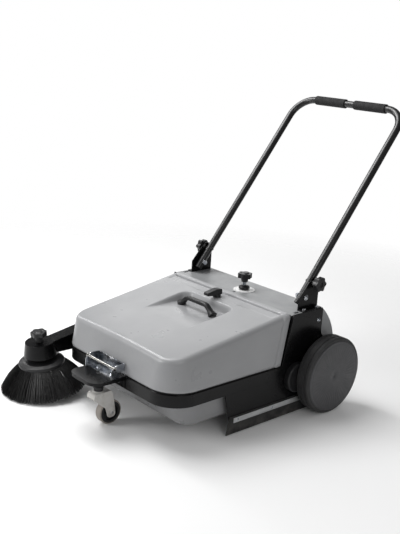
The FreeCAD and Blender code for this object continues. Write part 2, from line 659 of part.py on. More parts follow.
def handle_path():
    length = math.hypot(BAR_Y - PIVOT_Y, BAR_Z - PIVOT_Z)
    def place(x, reach):
        y, z = along_tube(reach)
        return Vector(x, y, z)
    corners = [(HANDLE_X, -TUBE_TAIL), (HANDLE_X, length, HANDLE_BEND), (-HANDLE_X, length, HANDLE_BEND),
               (-HANDLE_X, -TUBE_TAIL)]
    return rounded_wire(corners, place, closed=False)


def handle_tube():
    path = handle_path()
    tube = pipe(TUBE_R, path).cut(pipe(TUBE_R - TUBE_WALL, path))
    knob = along_tube(STUD_REACH)
    for x in (HANDLE_X, -HANDLE_X):
        tube = tube.cut(rod_x(BOLT_R, x - 20, x + 20, PIVOT_Y, PIVOT_Z))
        tube = tube.cut(rod_x(STUD_R + RUN, x - 20, x + 20, *knob))
    return tube


def handle_grips():
    """Two soft sleeves on the cross bar, with a gap between them in the middle."""
    grip = turned_x([(20, TUBE_R), (20, 16.5, 3), (160, 16.5, 3), (160, TUBE_R)], BAR_Y, BAR_Z)
    return both_sides(grip)


def handle_bolts():
    inner, outer = HANDLE_X - TUBE_R, BRACKET_X1 + 0.4
    shaft = rod_x(BOLT_R, inner, outer, PIVOT_Y, PIVOT_Z)
    nut = prism(polygon_yz(9, 6, PIVOT_Y, PIVOT_Z), in_yz(inner - 7), X * 7)
    washer = rod_x(9.5, outer, outer + 1.5, PIVOT_Y, PIVOT_Z)
    return both_sides(fused(shaft, nut, washer, dome_x(8.5, 5, outer + 1.5, PIVOT_Y, PIVOT_Z)))


def handle_knob():
    y, z = along_tube(STUD_REACH)
    start = BRACKET_X1 + 0.5
    neck = rod_x(11, start, 276, y, z)
    head = star_outline(KNOB_R, KNOB_LOBES, 5, lambda a, b: Vector(275, y + a, z + b)).extrude(X * 18)
    head = head.cut(rod_x(9, 290, 294, y, z))
    stud = rod_x(STUD_R, HANDLE_X - TUBE_R - 3, start, y, z)
    return fused(neck, head, stud)


# ---- height adjuster -------------------------------------------------------------------------------------

def adjuster_rod():
    """Height screw; two collars on it take the carrier's cross bar up and down."""
    rod = rod_z(ROD_R, 279, 396, 0, ADJUST_Y)
    upper = rod_z(11, CROSSBAR_Z + 1.5, CROSSBAR_Z + 4.5, 0, ADJUST_Y)
    lower = rod_z(11, CROSSBAR_Z - 7.5, CROSSBAR_Z - 4.5, 0, ADJUST_Y)
    return fused(rod, upper, lower)


def adjuster_knob():
    neck = turned_z([(0, 374), (11, 374), (14, 388), (0, 388)], 0, ADJUST_Y)
    head = star_outline(KNOB_R, KNOB_LOBES, 5, lambda a, b: Vector(a, ADJUST_Y + b, 388)).extrude(Z * 16)
    cap = turned_z([(0, 404), (15, 404), (11, 407), (0, 407)], 0, ADJUST_Y)
    return fused(neck, head, cap).cut(rod_z(ROD_R + RUN, 373, 397, 0, ADJUST_Y))


def lock_nut():
    nut = turned_z([(0, DECK_Z + 1.5), (15, DECK_Z + 1.5), (19, DECK_Z + 5, 2), (19, DECK_Z + 12, 4),
                    (9, DECK_Z + 17), (0, DECK_Z + 17)], 0, ADJUST_Y)
    return nut.cut(rod_z(ROD_R + RUN, DECK_Z, DECK_Z + 18, 0, ADJUST_Y))


# ---- caster ----------------------------------------------------------------------------------------------

def caster_fork():
    """Moulded housing with a domed top; each leg tapers down to the axle."""
    crown = turned_z([(0, 80), (21.5, 80), (21.5, 88, 6), (14, 96.5, 4), (0, 96.5)], 0, CASTER_Y)
    profile = [(CASTER_Y - 20, 94, 8), (CASTER_Y - 22, 72, 5), (CASTER_AXLE_Y - 25, 60, 12),
               (CASTER_AXLE_Y - 12, 27, 11), (CASTER_AXLE_Y + 13, 27, 11), (CASTER_AXLE_Y + 14, 62, 14),
               (CASTER_Y + 30, 92, 12), (CASTER_Y + 16, 96, 4)]
    cheek = plate_x(profile, 15.5, 19)
    bridge = plate_x([(CASTER_Y - 19.5, 94, 8), (CASTER_Y - 20, 84), (CASTER_Y + 24, 84), (CASTER_Y + 26, 92, 6),
                      (CASTER_Y + 16, 96, 4)], -16, 16)
    nose = plate_x([(CASTER_Y - 19.5, 92, 5), (CASTER_Y - 21.5, 72, 3), (CASTER_Y - 17, 72), (CASTER_Y - 15, 92)],
                   -16, 16)
    fork = fused(crown, cheek, mirrored(cheek), bridge, nose)
    return less(fork, rod_z(9 + RUN, 75, 98, 0, CASTER_Y), rod_x(4, -21, 21, CASTER_AXLE_Y, CASTER_R))


def caster_axle():
    shaft = rod_x(4, -19, 19, CASTER_AXLE_Y, CASTER_R)
    head = dome_x(7, 3, 19, CASTER_AXLE_Y, CASTER_R)
    return fused(shaft, head, mirrored(head))


def caster_wheel():
    profile = [(-14, 4 + RUN), (-14, 10), (-5, 12), (-5, 27), (-13, 27), (-13, 35.5), (13, 35.5), (13, 27), (5, 27),
               (5, 12), (14, 10), (14, 4 + RUN)]
    return turned_x(profile, CASTER_AXLE_Y, CASTER_R)


def caster_tyre():
    return turned_x([(-13, 35.5), (-13, CASTER_R, 3), (13, CASTER_R, 3), (13, 35.5)], CASTER_AXLE_Y, CASTER_R)


# ---- side brush arm and side brush -----------------------------------------------------------------------

def tipped(shape):
    """Tilts a shape forward with the arm's head."""
    turned = shape.copy()
    turned.rotate(Vector(SIDE_X, SIDE_Y, HEAD_Z), X, HEAD_TILT)
    return turned


def arm_block(inset, low):
    """Outer or inner volume of the arm: a channel that ends in a round tilted head, wider at its foot."""
    half = ARM_HALF - inset
    top = ARM_Z1 - inset
    end = ARM_PIVOT_Y + 35 - inset
    channel = plate_x([(SIDE_Y, ARM_Z0 - low), (SIDE_Y, 174 - inset), (SIDE_Y + 30, 175 - inset, 20),
                       (SIDE_Y + 200, top, 80), (end, top, 16), (end, ARM_PIVOT_Z - 20 - low),
                       (ARM_PIVOT_Y - 40, ARM_PIVOT_Z - 20 - low), (ARM_PIVOT_Y - 70, ARM_Z0 - low)],
                      SIDE_X - half, SIDE_X + half)
    head = Part.makeCone(56 - inset, 48 - inset, 176 - inset - (130 - low), Vector(SIDE_X, SIDE_Y, 130 - low), Z)
    return channel.fuse(tipped(head))


def side_arm():
    shell = arm_block(0, 0).cut(arm_block(ARM_WALL, 2))
    boss = tipped(rod_z(16, 150, 176 - ARM_WALL, SIDE_X, SIDE_Y))
    hub = rod_x(12, SIDE_X - ARM_HALF, SIDE_X + ARM_HALF, ARM_PIVOT_Y, ARM_PIVOT_Z)
    hub = hub.cut(rod_x(13, SIDE_X - ARM_HALF + 8, SIDE_X + ARM_HALF - 4, ARM_PIVOT_Y, ARM_PIVOT_Z))
    arm = fused(shell, boss, hub)
    spindle = tipped(rod_z(8 + RUN, 100, 180, SIDE_X, SIDE_Y))
    pin = rod_x(7 + RUN, SIDE_X - 40, SIDE_X + ARM_HALF - 5, ARM_PIVOT_Y, ARM_PIVOT_Z)
    hub_hole = rod_x(11, SIDE_X + ARM_HALF - 6, SIDE_X + 40, ARM_PIVOT_Y, ARM_PIVOT_Z)
    return less(arm, spindle, pin, hub_hole)


def side_brush_knob():
    """Turn knob on the arm's head that sets how hard the side brush presses."""
    top = 176.0
    neck = turned_z([(0, top + 0.5), (15, top + 0.5), (12, top + 14), (13, 199), (0, 199)], SIDE_X, SIDE_Y)
    head = star_outline(27, KNOB_LOBES, 4, lambda a, b: Vector(SIDE_X + a, SIDE_Y + b, 197)).extrude(Z * 14)
    cap = turned_z([(0, 211), (17, 211), (12, 214), (0, 214)], SIDE_X, SIDE_Y)
    return tipped(fused(neck, head, cap))


def side_spindle():
    """Vertical spindle with its belt pulley and the flange that carries the brush ring."""
    spindle = rod_z(8, 104, 172, SIDE_X, SIDE_Y)
    pulley = turned_z([(8, 134), (SPINDLE_R + 4, 134), (SPINDLE_R - 0.4, 139), (SPINDLE_R - 0.4, 143),
                       (SPINDLE_R + 4, 148), (8, 148)], SIDE_X, SIDE_Y)
    flange = rod_z(34, 117, 121, SIDE_X, SIDE_Y)
    return tipped(fused(spindle, pulley, flange))


def side_brush_ring():
    profile = [(8, 108), (60, 104), (70, 96), (SIDE_RING_R, 96, 3), (SIDE_RING_R, 106, 4), (62, 113, 6),
               (34, 117), (8, 117)]
    return tipped(turned_z(profile, SIDE_X, SIDE_Y))


def side_bristles():
    """Skirt of bristles, fanning out from the ring to the floor."""
    profile = [(48, 100), (60, 104), (70, 96), (SIDE_RING_R - 2, 96), (SIDE_RING_R + 6, 84),
               (SIDE_BRISTLE_R, BRISTLE_Z), (SIDE_BRISTLE_R - 26, BRISTLE_Z - 1.5), (66, 60)]
    return tipped(turned_z(profile, SIDE_X, SIDE_Y))


def idler_pulley():
    """Double pulley on the arm's pin: one groove for the wheel belt, one for the belt inside the arm."""
    x0, x1 = BELT_X - 5.5, BELT_X + 5
    first = grooved_pulley(IDLER_R, 7 + RUN, x0, x1, ARM_PIVOT_Y, ARM_PIVOT_Z)
    neck = ring_x(10, 7 + RUN, SIDE_X - 8, x0, ARM_PIVOT_Y, ARM_PIVOT_Z)
    groove = [(SIDE_X - 8, 7 + RUN), (SIDE_X - 8, IDLER_R + 3), (SIDE_X - 3, IDLER_R - 3.8), (SIDE_X + 3, IDLER_R - 3.8),
              (SIDE_X + 8, IDLER_R + 3), (SIDE_X + 8, 7 + RUN)]
    return fused(first, neck, turned_x(groove, ARM_PIVOT_Y, ARM_PIVOT_Z))


def arm_belt():
    """Round belt with a quarter turn, from the upright pulley on the pin to the flat pulley on the spindle.

    Its two straight runs and its two half turns are solids of their own that meet end to end.
    """
    radius = 3.0
    idler, spindle = IDLER_R, SPINDLE_R + 3.2
    high = HEAD_Z
    ends = [(Vector(SIDE_X, ARM_PIVOT_Y, ARM_PIVOT_Z + idler), Vector(SIDE_X - spindle, SIDE_Y, high)),
            (Vector(SIDE_X, ARM_PIVOT_Y, ARM_PIVOT_Z - idler), Vector(SIDE_X + spindle, SIDE_Y, high))]
    solids = []
    for start, end in ends:
        along = (end - start).normalize() * 0.5
        start, end = start + along, end - along
        solids.append(Part.makeCylinder(radius, (end - start).Length, start, end - start))
    ring = Part.makeTorus(idler, radius, Vector(SIDE_X, ARM_PIVOT_Y, ARM_PIVOT_Z), X)
    behind = box(SIDE_X - 20, SIDE_X + 20, ARM_PIVOT_Y, ARM_PIVOT_Y + 60, ARM_PIVOT_Z - 60, ARM_PIVOT_Z + 60)
    solids.append(ring.common(behind))
    ring = Part.makeTorus(spindle, radius, Vector(SIDE_X, SIDE_Y, high), Z)
    ahead = box(SIDE_X - 60, SIDE_X + 60, SIDE_Y - 60, SIDE_Y, high - 20, high + 20)
    solids.append(tipped(ring.common(ahead)))
    return Part.makeCompound(solids)


# ---- hopper ----------------------------------------------------------------------------------------------

def hood_top(y, inset=0.0):
    return HOOD_REAR_Z + HOOD_SLOPE * (y - (CHEEK_TOP_Y - 3)) - inset


def hood_block(inset, rear, round_top):
    """Solid under the hood's skin; with an inset it is the space inside."""
    front0, front1 = HOOD_FRONT0 + inset, HOOD_FRONT1 + inset
    lower = HOOD_Z0 if inset == 0 else HOOD_Z0 - 1
    bottom = rounded_wire([(-HOOD_HALF + inset, rear - 35), (HOOD_HALF - inset, rear - 35),
                           (HOOD_HALF - inset, front0, BAND_CORNER - inset),
                           (-HOOD_HALF + inset, front0, BAND_CORNER - inset)], in_xy(lower))
    top = rounded_wire([(-HOOD_TOP_REAR + inset, rear), (HOOD_TOP_REAR - inset, rear),
                        (HOOD_TOP_FRONT - inset, front1, HOOD_TOP_CORNER - inset),
                        (-HOOD_TOP_FRONT + inset, front1, HOOD_TOP_CORNER - inset)],
                       lambda a, b: Vector(a, b, hood_top(b, inset)))
    block = Part.makeLoft([bottom, top], True, True)
    upper = [e for e in block.Edges
             if all(abs(v.Z - hood_top(v.Y, inset)) < 0.01 for v in e.Vertexes)
             and not all(abs(v.Y - rear) < 0.01 for v in e.Vertexes)]
    return block.makeFillet(round_top, upper)


def recess_block(grow):
    """Level pocket for the hand under the carry handle; it runs out to nothing at the front."""
    half, floor = RECESS_HALF + grow, RECESS_Z - grow
    return plate_z([(-half, RECESS_Y0 - 60, 30), (-half, RECESS_Y1 + grow, 46), (half, RECESS_Y1 + grow, 46),
                    (half, RECESS_Y0 - 60, 30)], floor, 420)


def hopper_hood():
    rear = CHEEK_TOP_Y - 3
    outer = hood_block(0.0, rear, 18)
    inner = hood_block(HOOD_WALL, rear + 60, 14)
    gutter = plate_x([(-182, 330), (-182, 360), (-166, 360), (-166, 341, 2), (-178, 337, 2)], -252, 252)
    under_gutter = plate_x([(-188, 300), (-188, 334), (-178, 333), (-162, 336), (-160, 400), (-90, 400),
                            (-90, 300)], -258, 258)
    skin = less(outer, recess_block(0), gutter)
    room = inner.cut(recess_block(HOOD_WALL)).cut(box(-258, 258, -188, -160, 333, 400))
    lip = plate_x([(rear, 345), (rear - 5, 324), (rear - 9, 324), (rear - 4, 345)], -270, 270)
    hood = skin.cut(room).fuse(lip.common(outer))
    stem = rod_z(7, 300, 360, 0, LATCH_Y)
    hood = hood.cut(stem).removeSplitter()
    return max(hood.Solids, key=lambda s: s.Volume)


def tub_block(inset):
    def outline(half, front, radius, z):
        rear = TUB_REAR - inset
        return rounded_wire([(-half + inset, rear), (half - inset, rear), (half - inset, front + inset, radius - inset),
                             (-half + inset, front + inset, radius - inset)], in_xy(z))
    lower = outline(TUB_HALF - 4, TUB_FRONT0, 48, TUB_Z + inset)
    upper = outline(TUB_HALF, TUB_FRONT1, 84, HOOD_Z0 + (1 if inset else 0))
    block = Part.makeLoft([lower, upper], True, True)
    low = [e for e in block.Edges if all(abs(v.Z - TUB_Z - inset) < 0.01 for v in e.Vertexes)
           and not all(abs(v.Y - TUB_REAR + inset) < 0.01 for v in e.Vertexes)]
    return block.makeFillet(12 - inset, low)


def hopper_tub():
    """Lower half of the hopper, open on top and behind, with a sill that keeps the sweepings in."""
    shell = tub_block(0).cut(tub_block(HOOD_WALL))
    flange = plate_z(u_outline(11, TUB_REAR), HOOD_Z0, HOOD_Z0 + 3)
    flange = flange.cut(plate_z(u_outline(21.5, TUB_REAR + 5), HOOD_Z0 - 1, HOOD_Z0 + 4))
    mouth = box(-262, 262, TUB_REAR - 8, TUB_REAR + 5, 104, 200)
    return fused(shell, flange).cut(mouth)


def hopper_seal():
    """Rubber strip between the hopper's flange and the band."""
    seal = plate_z(u_outline(2, -200), BAND_Z1 + 0.5, HOOD_Z0)
    return seal.cut(plate_z(u_outline(16, -190), BAND_Z1 - 1, HOOD_Z0 + 1)).cut(
        box(-300, 300, cheek_edge(HOOD_Z0) - 12, 0, 150, 200))


def carry_handle():
    """Bridge handle screwed to the floor of the hand recess."""
    rise = CARRY_TOP - 11
    corners = [(-CARRY_HALF, RECESS_Z + 1), (-CARRY_HALF + 20, rise, 22), (CARRY_HALF - 20, rise, 22),
               (CARRY_HALF, RECESS_Z + 1)]
    bridge = pipe(10, rounded_wire(corners, in_xz(CARRY_Y), closed=False))
    feet = []
    for x in (-CARRY_HALF, CARRY_HALF):
        feet.append(Part.makeCone(17, 10, 20, Vector(x, CARRY_Y, RECESS_Z), Z))
    handle = fused(bridge, *feet)
    return handle.cut(box(-120, 120, CARRY_Y - 30, CARRY_Y + 30, RECESS_Z - 40, RECESS_Z))


def latch_knob():
    """Paddle knob of the hopper latch, on a stem that swells the rubber plug."""
    stem = rod_z(5, 297, 350, 0, LATCH_Y)
    low = hood_top(LATCH_Y + 14) + 1
    collar = turned_z([(0, low), (14, low), (12, 352), (0, 352)], 0, LATCH_Y)
    paddle = plate_x([(LATCH_Y - 52, 352, 4), (LATCH_Y - 50, 362, 4), (LATCH_Y - 10, 370, 6),
                      (LATCH_Y + 14, 368, 5), (LATCH_Y + 14, 350, 3), (LATCH_Y - 12, 348, 3)], -10, 10)
    return fused(stem, collar, paddle)


def latch_plug():
    """Rubber plug that the latch squeezes wider inside its socket."""
    return ring_z(11, 5, 298, 321, 0, LATCH_Y)


# ---- all sub-parts ---------------------------------------------------------------------------------------

def sub_parts():
    parts = {
        "side_plate_left": side_plate(True),
        "side_plate_right": side_plate(False),
        "skirt_panels": skirt_panels(),
        "bumper_band": bumper_band(),
        "top_deck": top_deck(),
        "rear_cover": rear_cover(),
        "stub_axles": stub_axles(),
        "frame_screws": frame_screws(),
        "side_flaps": side_flaps(),
        "rear_flap": rear_flap(),
        "flap_strips": flap_strips(),
        "drive_cover": drive_cover(),
        "handle_brackets": both_sides(handle_bracket()),
        "front_bracket": front_bracket(),
        "front_bar": front_bar(),
        "caster_plate": caster_plate(),
        "caster_collar": caster_collar(),
        "latch_bracket": latch_bracket(),
        "adjuster_ring": adjuster_ring(),
        "arm_pivot": arm_pivot(),
        "side_drive_belt": side_drive_belt(),
        "carrier_arms": carrier_arms(),
        "carrier_crossbar": carrier_crossbar(),
        "brush_bearings": brush_bearings(),
        "main_brush_core": brush_core(),
        "main_brush_bristles": main_bristles(),
        "brush_pinion": brush_pinion(),
        "drive_gear": drive_gear(),
        "drive_pulley": drive_pulley(),
        "handle_tube": handle_tube(),
        "handle_grips": handle_grips(),
        "handle_bolts": handle_bolts(),
        "handle_knob_left": handle_knob(),
        "handle_knob_right": mirrored(handle_knob()),
        "adjuster_rod": adjuster_rod(),
        "adjuster_knob": adjuster_knob(),
        "adjuster_lock_nut": lock_nut(),
        "caster_fork": caster_fork(),
        "caster_axle": caster_axle(),
        "caster_wheel": caster_wheel(),
        "caster_tyre": caster_tyre(),
        "side_brush_arm": side_arm(),
        "side_brush_belt": arm_belt(),
        "side_brush_idler": idler_pulley(),
        "side_brush_knob": side_brush_knob(),
        "side_brush_spindle": side_spindle(),
        "side_brush_ring": side_brush_ring(),
        "side_brush_bristles": side_bristles(),
        "hopper_hood": hopper_hood(),
        "hopper_tub": hopper_tub(),
        "hopper_seal": hopper_seal(),
        "carry_handle": carry_handle(),
        "latch_knob": latch_knob(),
        "latch_plug": latch_plug(),
    }
    for side, turn in (("left", lambda s: s), ("right", mirrored)):
        parts["tyre_" + side] = turn(tyre())
        parts["wheel_rim_" + side] = turn(wheel_rim())
        parts["wheel_cover_" + side] = turn(wheel_cover())
    return parts


def main():
    os.makedirs("parts", exist_ok=True)
    for name, shape in sub_parts().items():
        shape.translate(ORIGIN * -1)
        if not shape.isValid():
            print("not valid:", name)
        shape.exportStep(os.path.join("parts", name + ".step"))
        print(f"{name}: {len(shape.Solids)} solids, {shape.Volume / 1000:.1f} cm3")


main()
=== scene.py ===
"""Looks of the walk-behind sweeper: studio, camera, materials, and pieces finer than their CAD."""

import json
import math
import random

import bpy
from mathutils import Matrix, Vector


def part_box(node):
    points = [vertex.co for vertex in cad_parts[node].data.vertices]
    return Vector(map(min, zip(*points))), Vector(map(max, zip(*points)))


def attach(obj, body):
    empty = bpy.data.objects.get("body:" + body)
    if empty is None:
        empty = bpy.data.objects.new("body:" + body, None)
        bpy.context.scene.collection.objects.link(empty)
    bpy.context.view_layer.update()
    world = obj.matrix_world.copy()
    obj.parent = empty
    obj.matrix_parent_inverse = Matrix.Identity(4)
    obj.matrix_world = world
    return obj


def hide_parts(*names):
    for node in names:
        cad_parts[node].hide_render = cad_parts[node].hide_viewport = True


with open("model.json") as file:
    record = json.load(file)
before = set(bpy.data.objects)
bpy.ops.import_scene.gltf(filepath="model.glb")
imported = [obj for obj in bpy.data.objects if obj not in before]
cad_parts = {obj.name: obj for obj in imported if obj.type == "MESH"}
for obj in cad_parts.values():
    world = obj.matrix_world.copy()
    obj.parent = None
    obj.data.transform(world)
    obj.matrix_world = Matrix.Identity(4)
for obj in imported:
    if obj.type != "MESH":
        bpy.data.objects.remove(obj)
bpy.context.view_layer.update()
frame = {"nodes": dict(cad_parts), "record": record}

MM = 0.001

# The machine's own zero: on the floor, under the middle of the wheel axle.
TYRE_LEFT, TYRE_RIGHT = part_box("tyre_left"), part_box("tyre_right")
ZERO = Vector(((TYRE_LEFT[1].x + TYRE_RIGHT[0].x) / 2, (TYRE_LEFT[0].y + TYRE_LEFT[1].y) / 2, 0.0))


def at(x, y, z):
    """Point in the row frame, in metres, from millimetres measured from the machine's own zero."""
    return ZERO + Vector((x, y, z)) * MM


# ---- shader building ------------------------------------------------------------------------------------

NOISE_ROUGHNESS = 0.55
BEVEL_SAMPLES = 6
EDGE_DOT = 0.995, 0.86  # dot product of the true and the bevelled normal where wear starts and is full


class Surface:
    """A procedural material, put together from a base colour, noise, grain and wear."""

    def __init__(self, name, colour, rough, metal=0.0, specular=0.5):
        self.material = bpy.data.materials.new(name)
        self.material.use_nodes = True
        self.nodes = self.material.node_tree.nodes
        self.links = self.material.node_tree.links
        self.shader = self.nodes["Principled BSDF"]
        self.shader.inputs["Metallic"].default_value = metal
        self.shader.inputs["Specular IOR Level"].default_value = specular
        self.shader.inputs["Base Color"].default_value = (*colour, 1)
        self.shader.inputs["Roughness"].default_value = rough
        self.base = colour
        self.colour = None
        self.place = self.nodes.new("ShaderNodeTexCoord").outputs["Object"]
        self.normal = None

    def stretched(self, scale):
        """Object coordinates scaled by a number or by one number per axis."""
        node = self.nodes.new("ShaderNodeMapping")
        node.inputs["Scale"].default_value = (scale,) * 3 if isinstance(scale, (int, float)) else scale
        self.links.new(self.place, node.inputs["Vector"])
        return node.outputs[0]

    def noise(self, scale, detail):
        node = self.nodes.new("ShaderNodeTexNoise")
        node.inputs["Scale"].default_value = 1.0
        node.inputs["Detail"].default_value = detail
        node.inputs["Roughness"].default_value = NOISE_ROUGHNESS
        self.links.new(self.stretched(scale), node.inputs["Vector"])
        return node.outputs["Fac"]

    def ramp(self, source, low, high, start=0.0, end=1.0):
        """Carries a value from low..high over to start..end, held at both ends."""
        node = self.nodes.new("ShaderNodeMapRange")
        node.inputs["From Min"].default_value = low
        node.inputs["From Max"].default_value = high
        node.inputs["To Min"].default_value = start
        node.inputs["To Max"].default_value = end
        self.links.new(source, node.inputs["Value"])
        return node.outputs[0]

    def times(self, first, second):
        node = self.nodes.new("ShaderNodeMath")
        node.operation = "MULTIPLY"
        self.links.new(first, node.inputs[0])
        self.links.new(second, node.inputs[1])
        return node.outputs[0]

    def vector_math(self, operation, first):
        """Vector node with its first input linked."""
        node = self.nodes.new("ShaderNodeVectorMath")
        node.operation = operation
        self.links.new(first, node.inputs[0])
        return node

    def split(self, source):
        node = self.nodes.new("ShaderNodeSeparateXYZ")
        self.links.new(source, node.inputs[0])
        return node

    def blend(self, factor, colour):
        """Lays a second colour over the first where the factor is high."""
        mix = self.nodes.new("ShaderNodeMix")
        mix.data_type = "RGBA"
        self.links.new(factor, mix.inputs["Factor"])
        first, second, blended = mix.inputs[6], mix.inputs[7], mix.outputs[2]
        if self.colour is None:
            first.default_value = (*self.base, 1)
        else:
            self.links.new(self.colour, first)
        second.default_value = (*colour, 1)
        self.colour = blended
        self.links.new(self.colour, self.shader.inputs["Base Color"])
        return self

    def mottle(self, scale, colour, low, high, strength, detail=4.0):
        """Blotches of a second colour."""
        return self.blend(self.ramp(self.noise(scale, detail), low, high, 0.0, strength), colour)

    def patchy(self, scale, low, high, detail=3.0):
        """Roughness that drifts between two values."""
        drift = self.ramp(self.noise(scale, detail), 0.3, 0.7, low, high)
        self.links.new(drift, self.shader.inputs["Roughness"])
        return self

    def shade_along(self, normal):
        self.normal = normal
        self.links.new(normal, self.shader.inputs["Normal"])
        return self

    def bump(self, source, distance):
        node = self.nodes.new("ShaderNodeBump")
        node.inputs["Distance"].default_value = distance
        self.links.new(source, node.inputs["Height"])
        if self.normal is not None:
            self.links.new(self.normal, node.inputs["Normal"])
        return self.shade_along(node.outputs["Normal"])

    def grain(self, scale, distance, detail=2.0):
        """Fine relief, its distance in metres."""
        return self.bump(self.noise(scale, detail), distance)

    def bevel(self, radius):
        node = self.nodes.new("ShaderNodeBevel")
        node.samples = BEVEL_SAMPLES
        node.inputs["Radius"].default_value = radius
        return node.outputs["Normal"]

    def rounded(self, radius):
        """Softens the machined edges of a CAD piece."""
        return self.shade_along(self.bevel(radius))

    def worn_edges(self, radius, colour, strength):
        """Lighter colour along edges, where paint or plastic rubs."""
        dot = self.vector_math("DOT_PRODUCT", self.bevel(radius))
        self.links.new(self.nodes.new("ShaderNodeNewGeometry").outputs["Normal"], dot.inputs[1])
        edge = self.ramp(dot.outputs["Value"], *EDGE_DOT)
        broken = self.ramp(self.noise(160.0, 4.0), 0.42, 0.62, 0.0, strength)
        return self.blend(self.times(edge, broken), colour)

    def dusty(self, colour, low, high, strength):
        """Pale dust that gathers towards the floor, between two heights in metres."""
        height = self.ramp(self.split(self.place).outputs["Z"], high, low)
        patches = self.ramp(self.noise(30.0, 5.0), 0.4, 0.7, 0.0, strength)
        return self.blend(self.times(height, patches), colour)


# ---- materials ------------------------------------------------------------------------------------------

DUST = (0.22, 0.21, 0.19)


def gloss_black():
    """Powder coat with a fine orange peel."""
    s = Surface("gloss_black", (0.002, 0.002, 0.0023), 0.25, specular=0.2)
    s.rounded(0.0012).worn_edges(0.0012, (0.035, 0.035, 0.035), 0.35)
    s.mottle(9.0, (0.006, 0.006, 0.0065), 0.4, 0.7, 0.6).dusty(DUST, 0.0, 0.12, 0.02)
    return s.patchy(12.0, 0.2, 0.3).grain(300.0, 0.00004)


def tube_enamel():
    """Thicker black enamel of the bent handle tube, which shows long soft highlights."""
    s = Surface("tube_enamel", (0.008, 0.008, 0.0085), 0.28, specular=0.6)
    s.mottle(14.0, (0.016, 0.016, 0.0165), 0.4, 0.7, 0.6).mottle(260.0, (0.03, 0.03, 0.03), 0.62, 0.75, 0.3)
    return s.patchy(18.0, 0.24, 0.34).grain(500.0, 0.00002)


def deck_paint():
    """Silver-grey painted sheet."""
    s = Surface("deck_paint", (0.245, 0.25, 0.255), 0.42, metal=0.15, specular=0.5)
    s.rounded(0.001).worn_edges(0.0014, (0.42, 0.42, 0.42), 0.5)
    s.mottle(9.0, (0.205, 0.21, 0.215), 0.35, 0.7, 0.8).mottle(1500.0, (0.3, 0.305, 0.31), 0.5, 0.65, 0.3)
    return s.patchy(22.0, 0.36, 0.5).grain(1300.0, 0.00007)


def hood_plastic(name="hood_plastic", shade=1.0):
    """Grey moulded plastic with a soft sheen and slight flow marks; shade scales how light it is, and below 1
    it paints shade into the colour.
    """
    def grey(*colour):
        return tuple(shade * c for c in colour)

    s = Surface(name, grey(0.285, 0.288, 0.295), 0.33, specular=0.5)
    s.mottle(5.0, grey(0.262, 0.265, 0.272), 0.35, 0.7, 0.8)
    s.mottle((30.0, 9.0, 30.0), grey(0.31, 0.312, 0.32), 0.45, 0.75, 0.35)
    s.mottle(260.0, grey(0.26, 0.262, 0.27), 0.5, 0.8, 0.25)
    return s.patchy(16.0, 0.26, 0.38).grain(42.0, 0.0001).grain(700.0, 0.00003)


def tub_plastic_painted_shade():
    """The hood's plastic darkened to 0.74 as painted shade for the tub below the band, with dust low down."""
    return hood_plastic("tub_plastic_painted_shade", 0.74).dusty(DUST, 0.05, 0.13, 0.25)


def zinc_plate():
    """Bright zinc plating: dark blotches painted on as reflections of dark surroundings, pale blotches
    painted on as highlights, and a faint brown tint of its passivation.
    """
    s = Surface("zinc_plate", (0.52, 0.54, 0.57), 0.24, metal=1.0)
    # Dark bluish blotches: painted reflection of dark surroundings.
    s.rounded(0.0008).mottle(38.0, (0.2, 0.225, 0.27), 0.42, 0.6, 0.7, 1.0)
    # Pale blotches: painted highlights; the brown ones after them are the passivation's tint.
    s.mottle(30.0, (0.9, 0.91, 0.94), 0.55, 0.66, 0.85, 0.5)
    s.mottle(35.0, (0.3, 0.26, 0.2), 0.58, 0.75, 0.4).worn_edges(0.0015, (0.8, 0.8, 0.8), 0.9)
    return s.patchy(40.0, 0.16, 0.34, 1.0).grain(30.0, 0.0009, 0.5)


def polished_bar():
    """The same plating, rubbed bright where straps run over it."""
    s = Surface("polished_bar", (0.72, 0.71, 0.68), 0.16, metal=1.0)
    s.mottle((12.0, 90.0, 90.0), (0.5, 0.49, 0.46), 0.4, 0.7, 0.6)
    return s.patchy(55.0, 0.1, 0.22).grain(200.0, 0.00006)


def turned_steel():
    s = Surface("turned_steel", (0.5, 0.5, 0.5), 0.3, metal=1.0)
    s.rounded(0.0006).mottle(40.0, (0.36, 0.36, 0.37), 0.4, 0.7, 0.6)
    return s.patchy(80.0, 0.22, 0.42).grain((3000.0, 60.0, 60.0), 0.00005)


def strip_aluminium():
    """Extruded aluminium strip, drawn lines along its length."""
    s = Surface("strip_aluminium", (0.66, 0.67, 0.68), 0.4, metal=0.75)
    s.rounded(0.0005).mottle((60.0, 4.0, 60.0), (0.33, 0.34, 0.35), 0.4, 0.7, 0.6)
    s.dusty(DUST, 0.03, 0.08, 0.3)
    return s.patchy(60.0, 0.3, 0.48).grain((2200.0, 12.0, 2200.0), 0.00008)


def rubber(name, colour, worn, low=0.55, high=0.75, scale=700.0):
    s = Surface(name, colour, 0.65, specular=0.35)
    s.rounded(0.0008).worn_edges(0.0012, worn, 0.5).mottle(20.0, worn, 0.5, 0.8, 0.35)
    return s.patchy(45.0, low, high).grain(scale, 0.00015, 3.0)


def flap_rubber():
    return rubber("flap_rubber", (0.016, 0.016, 0.016), (0.05, 0.05, 0.05)).dusty(DUST, 0.0, 0.05, 0.3)


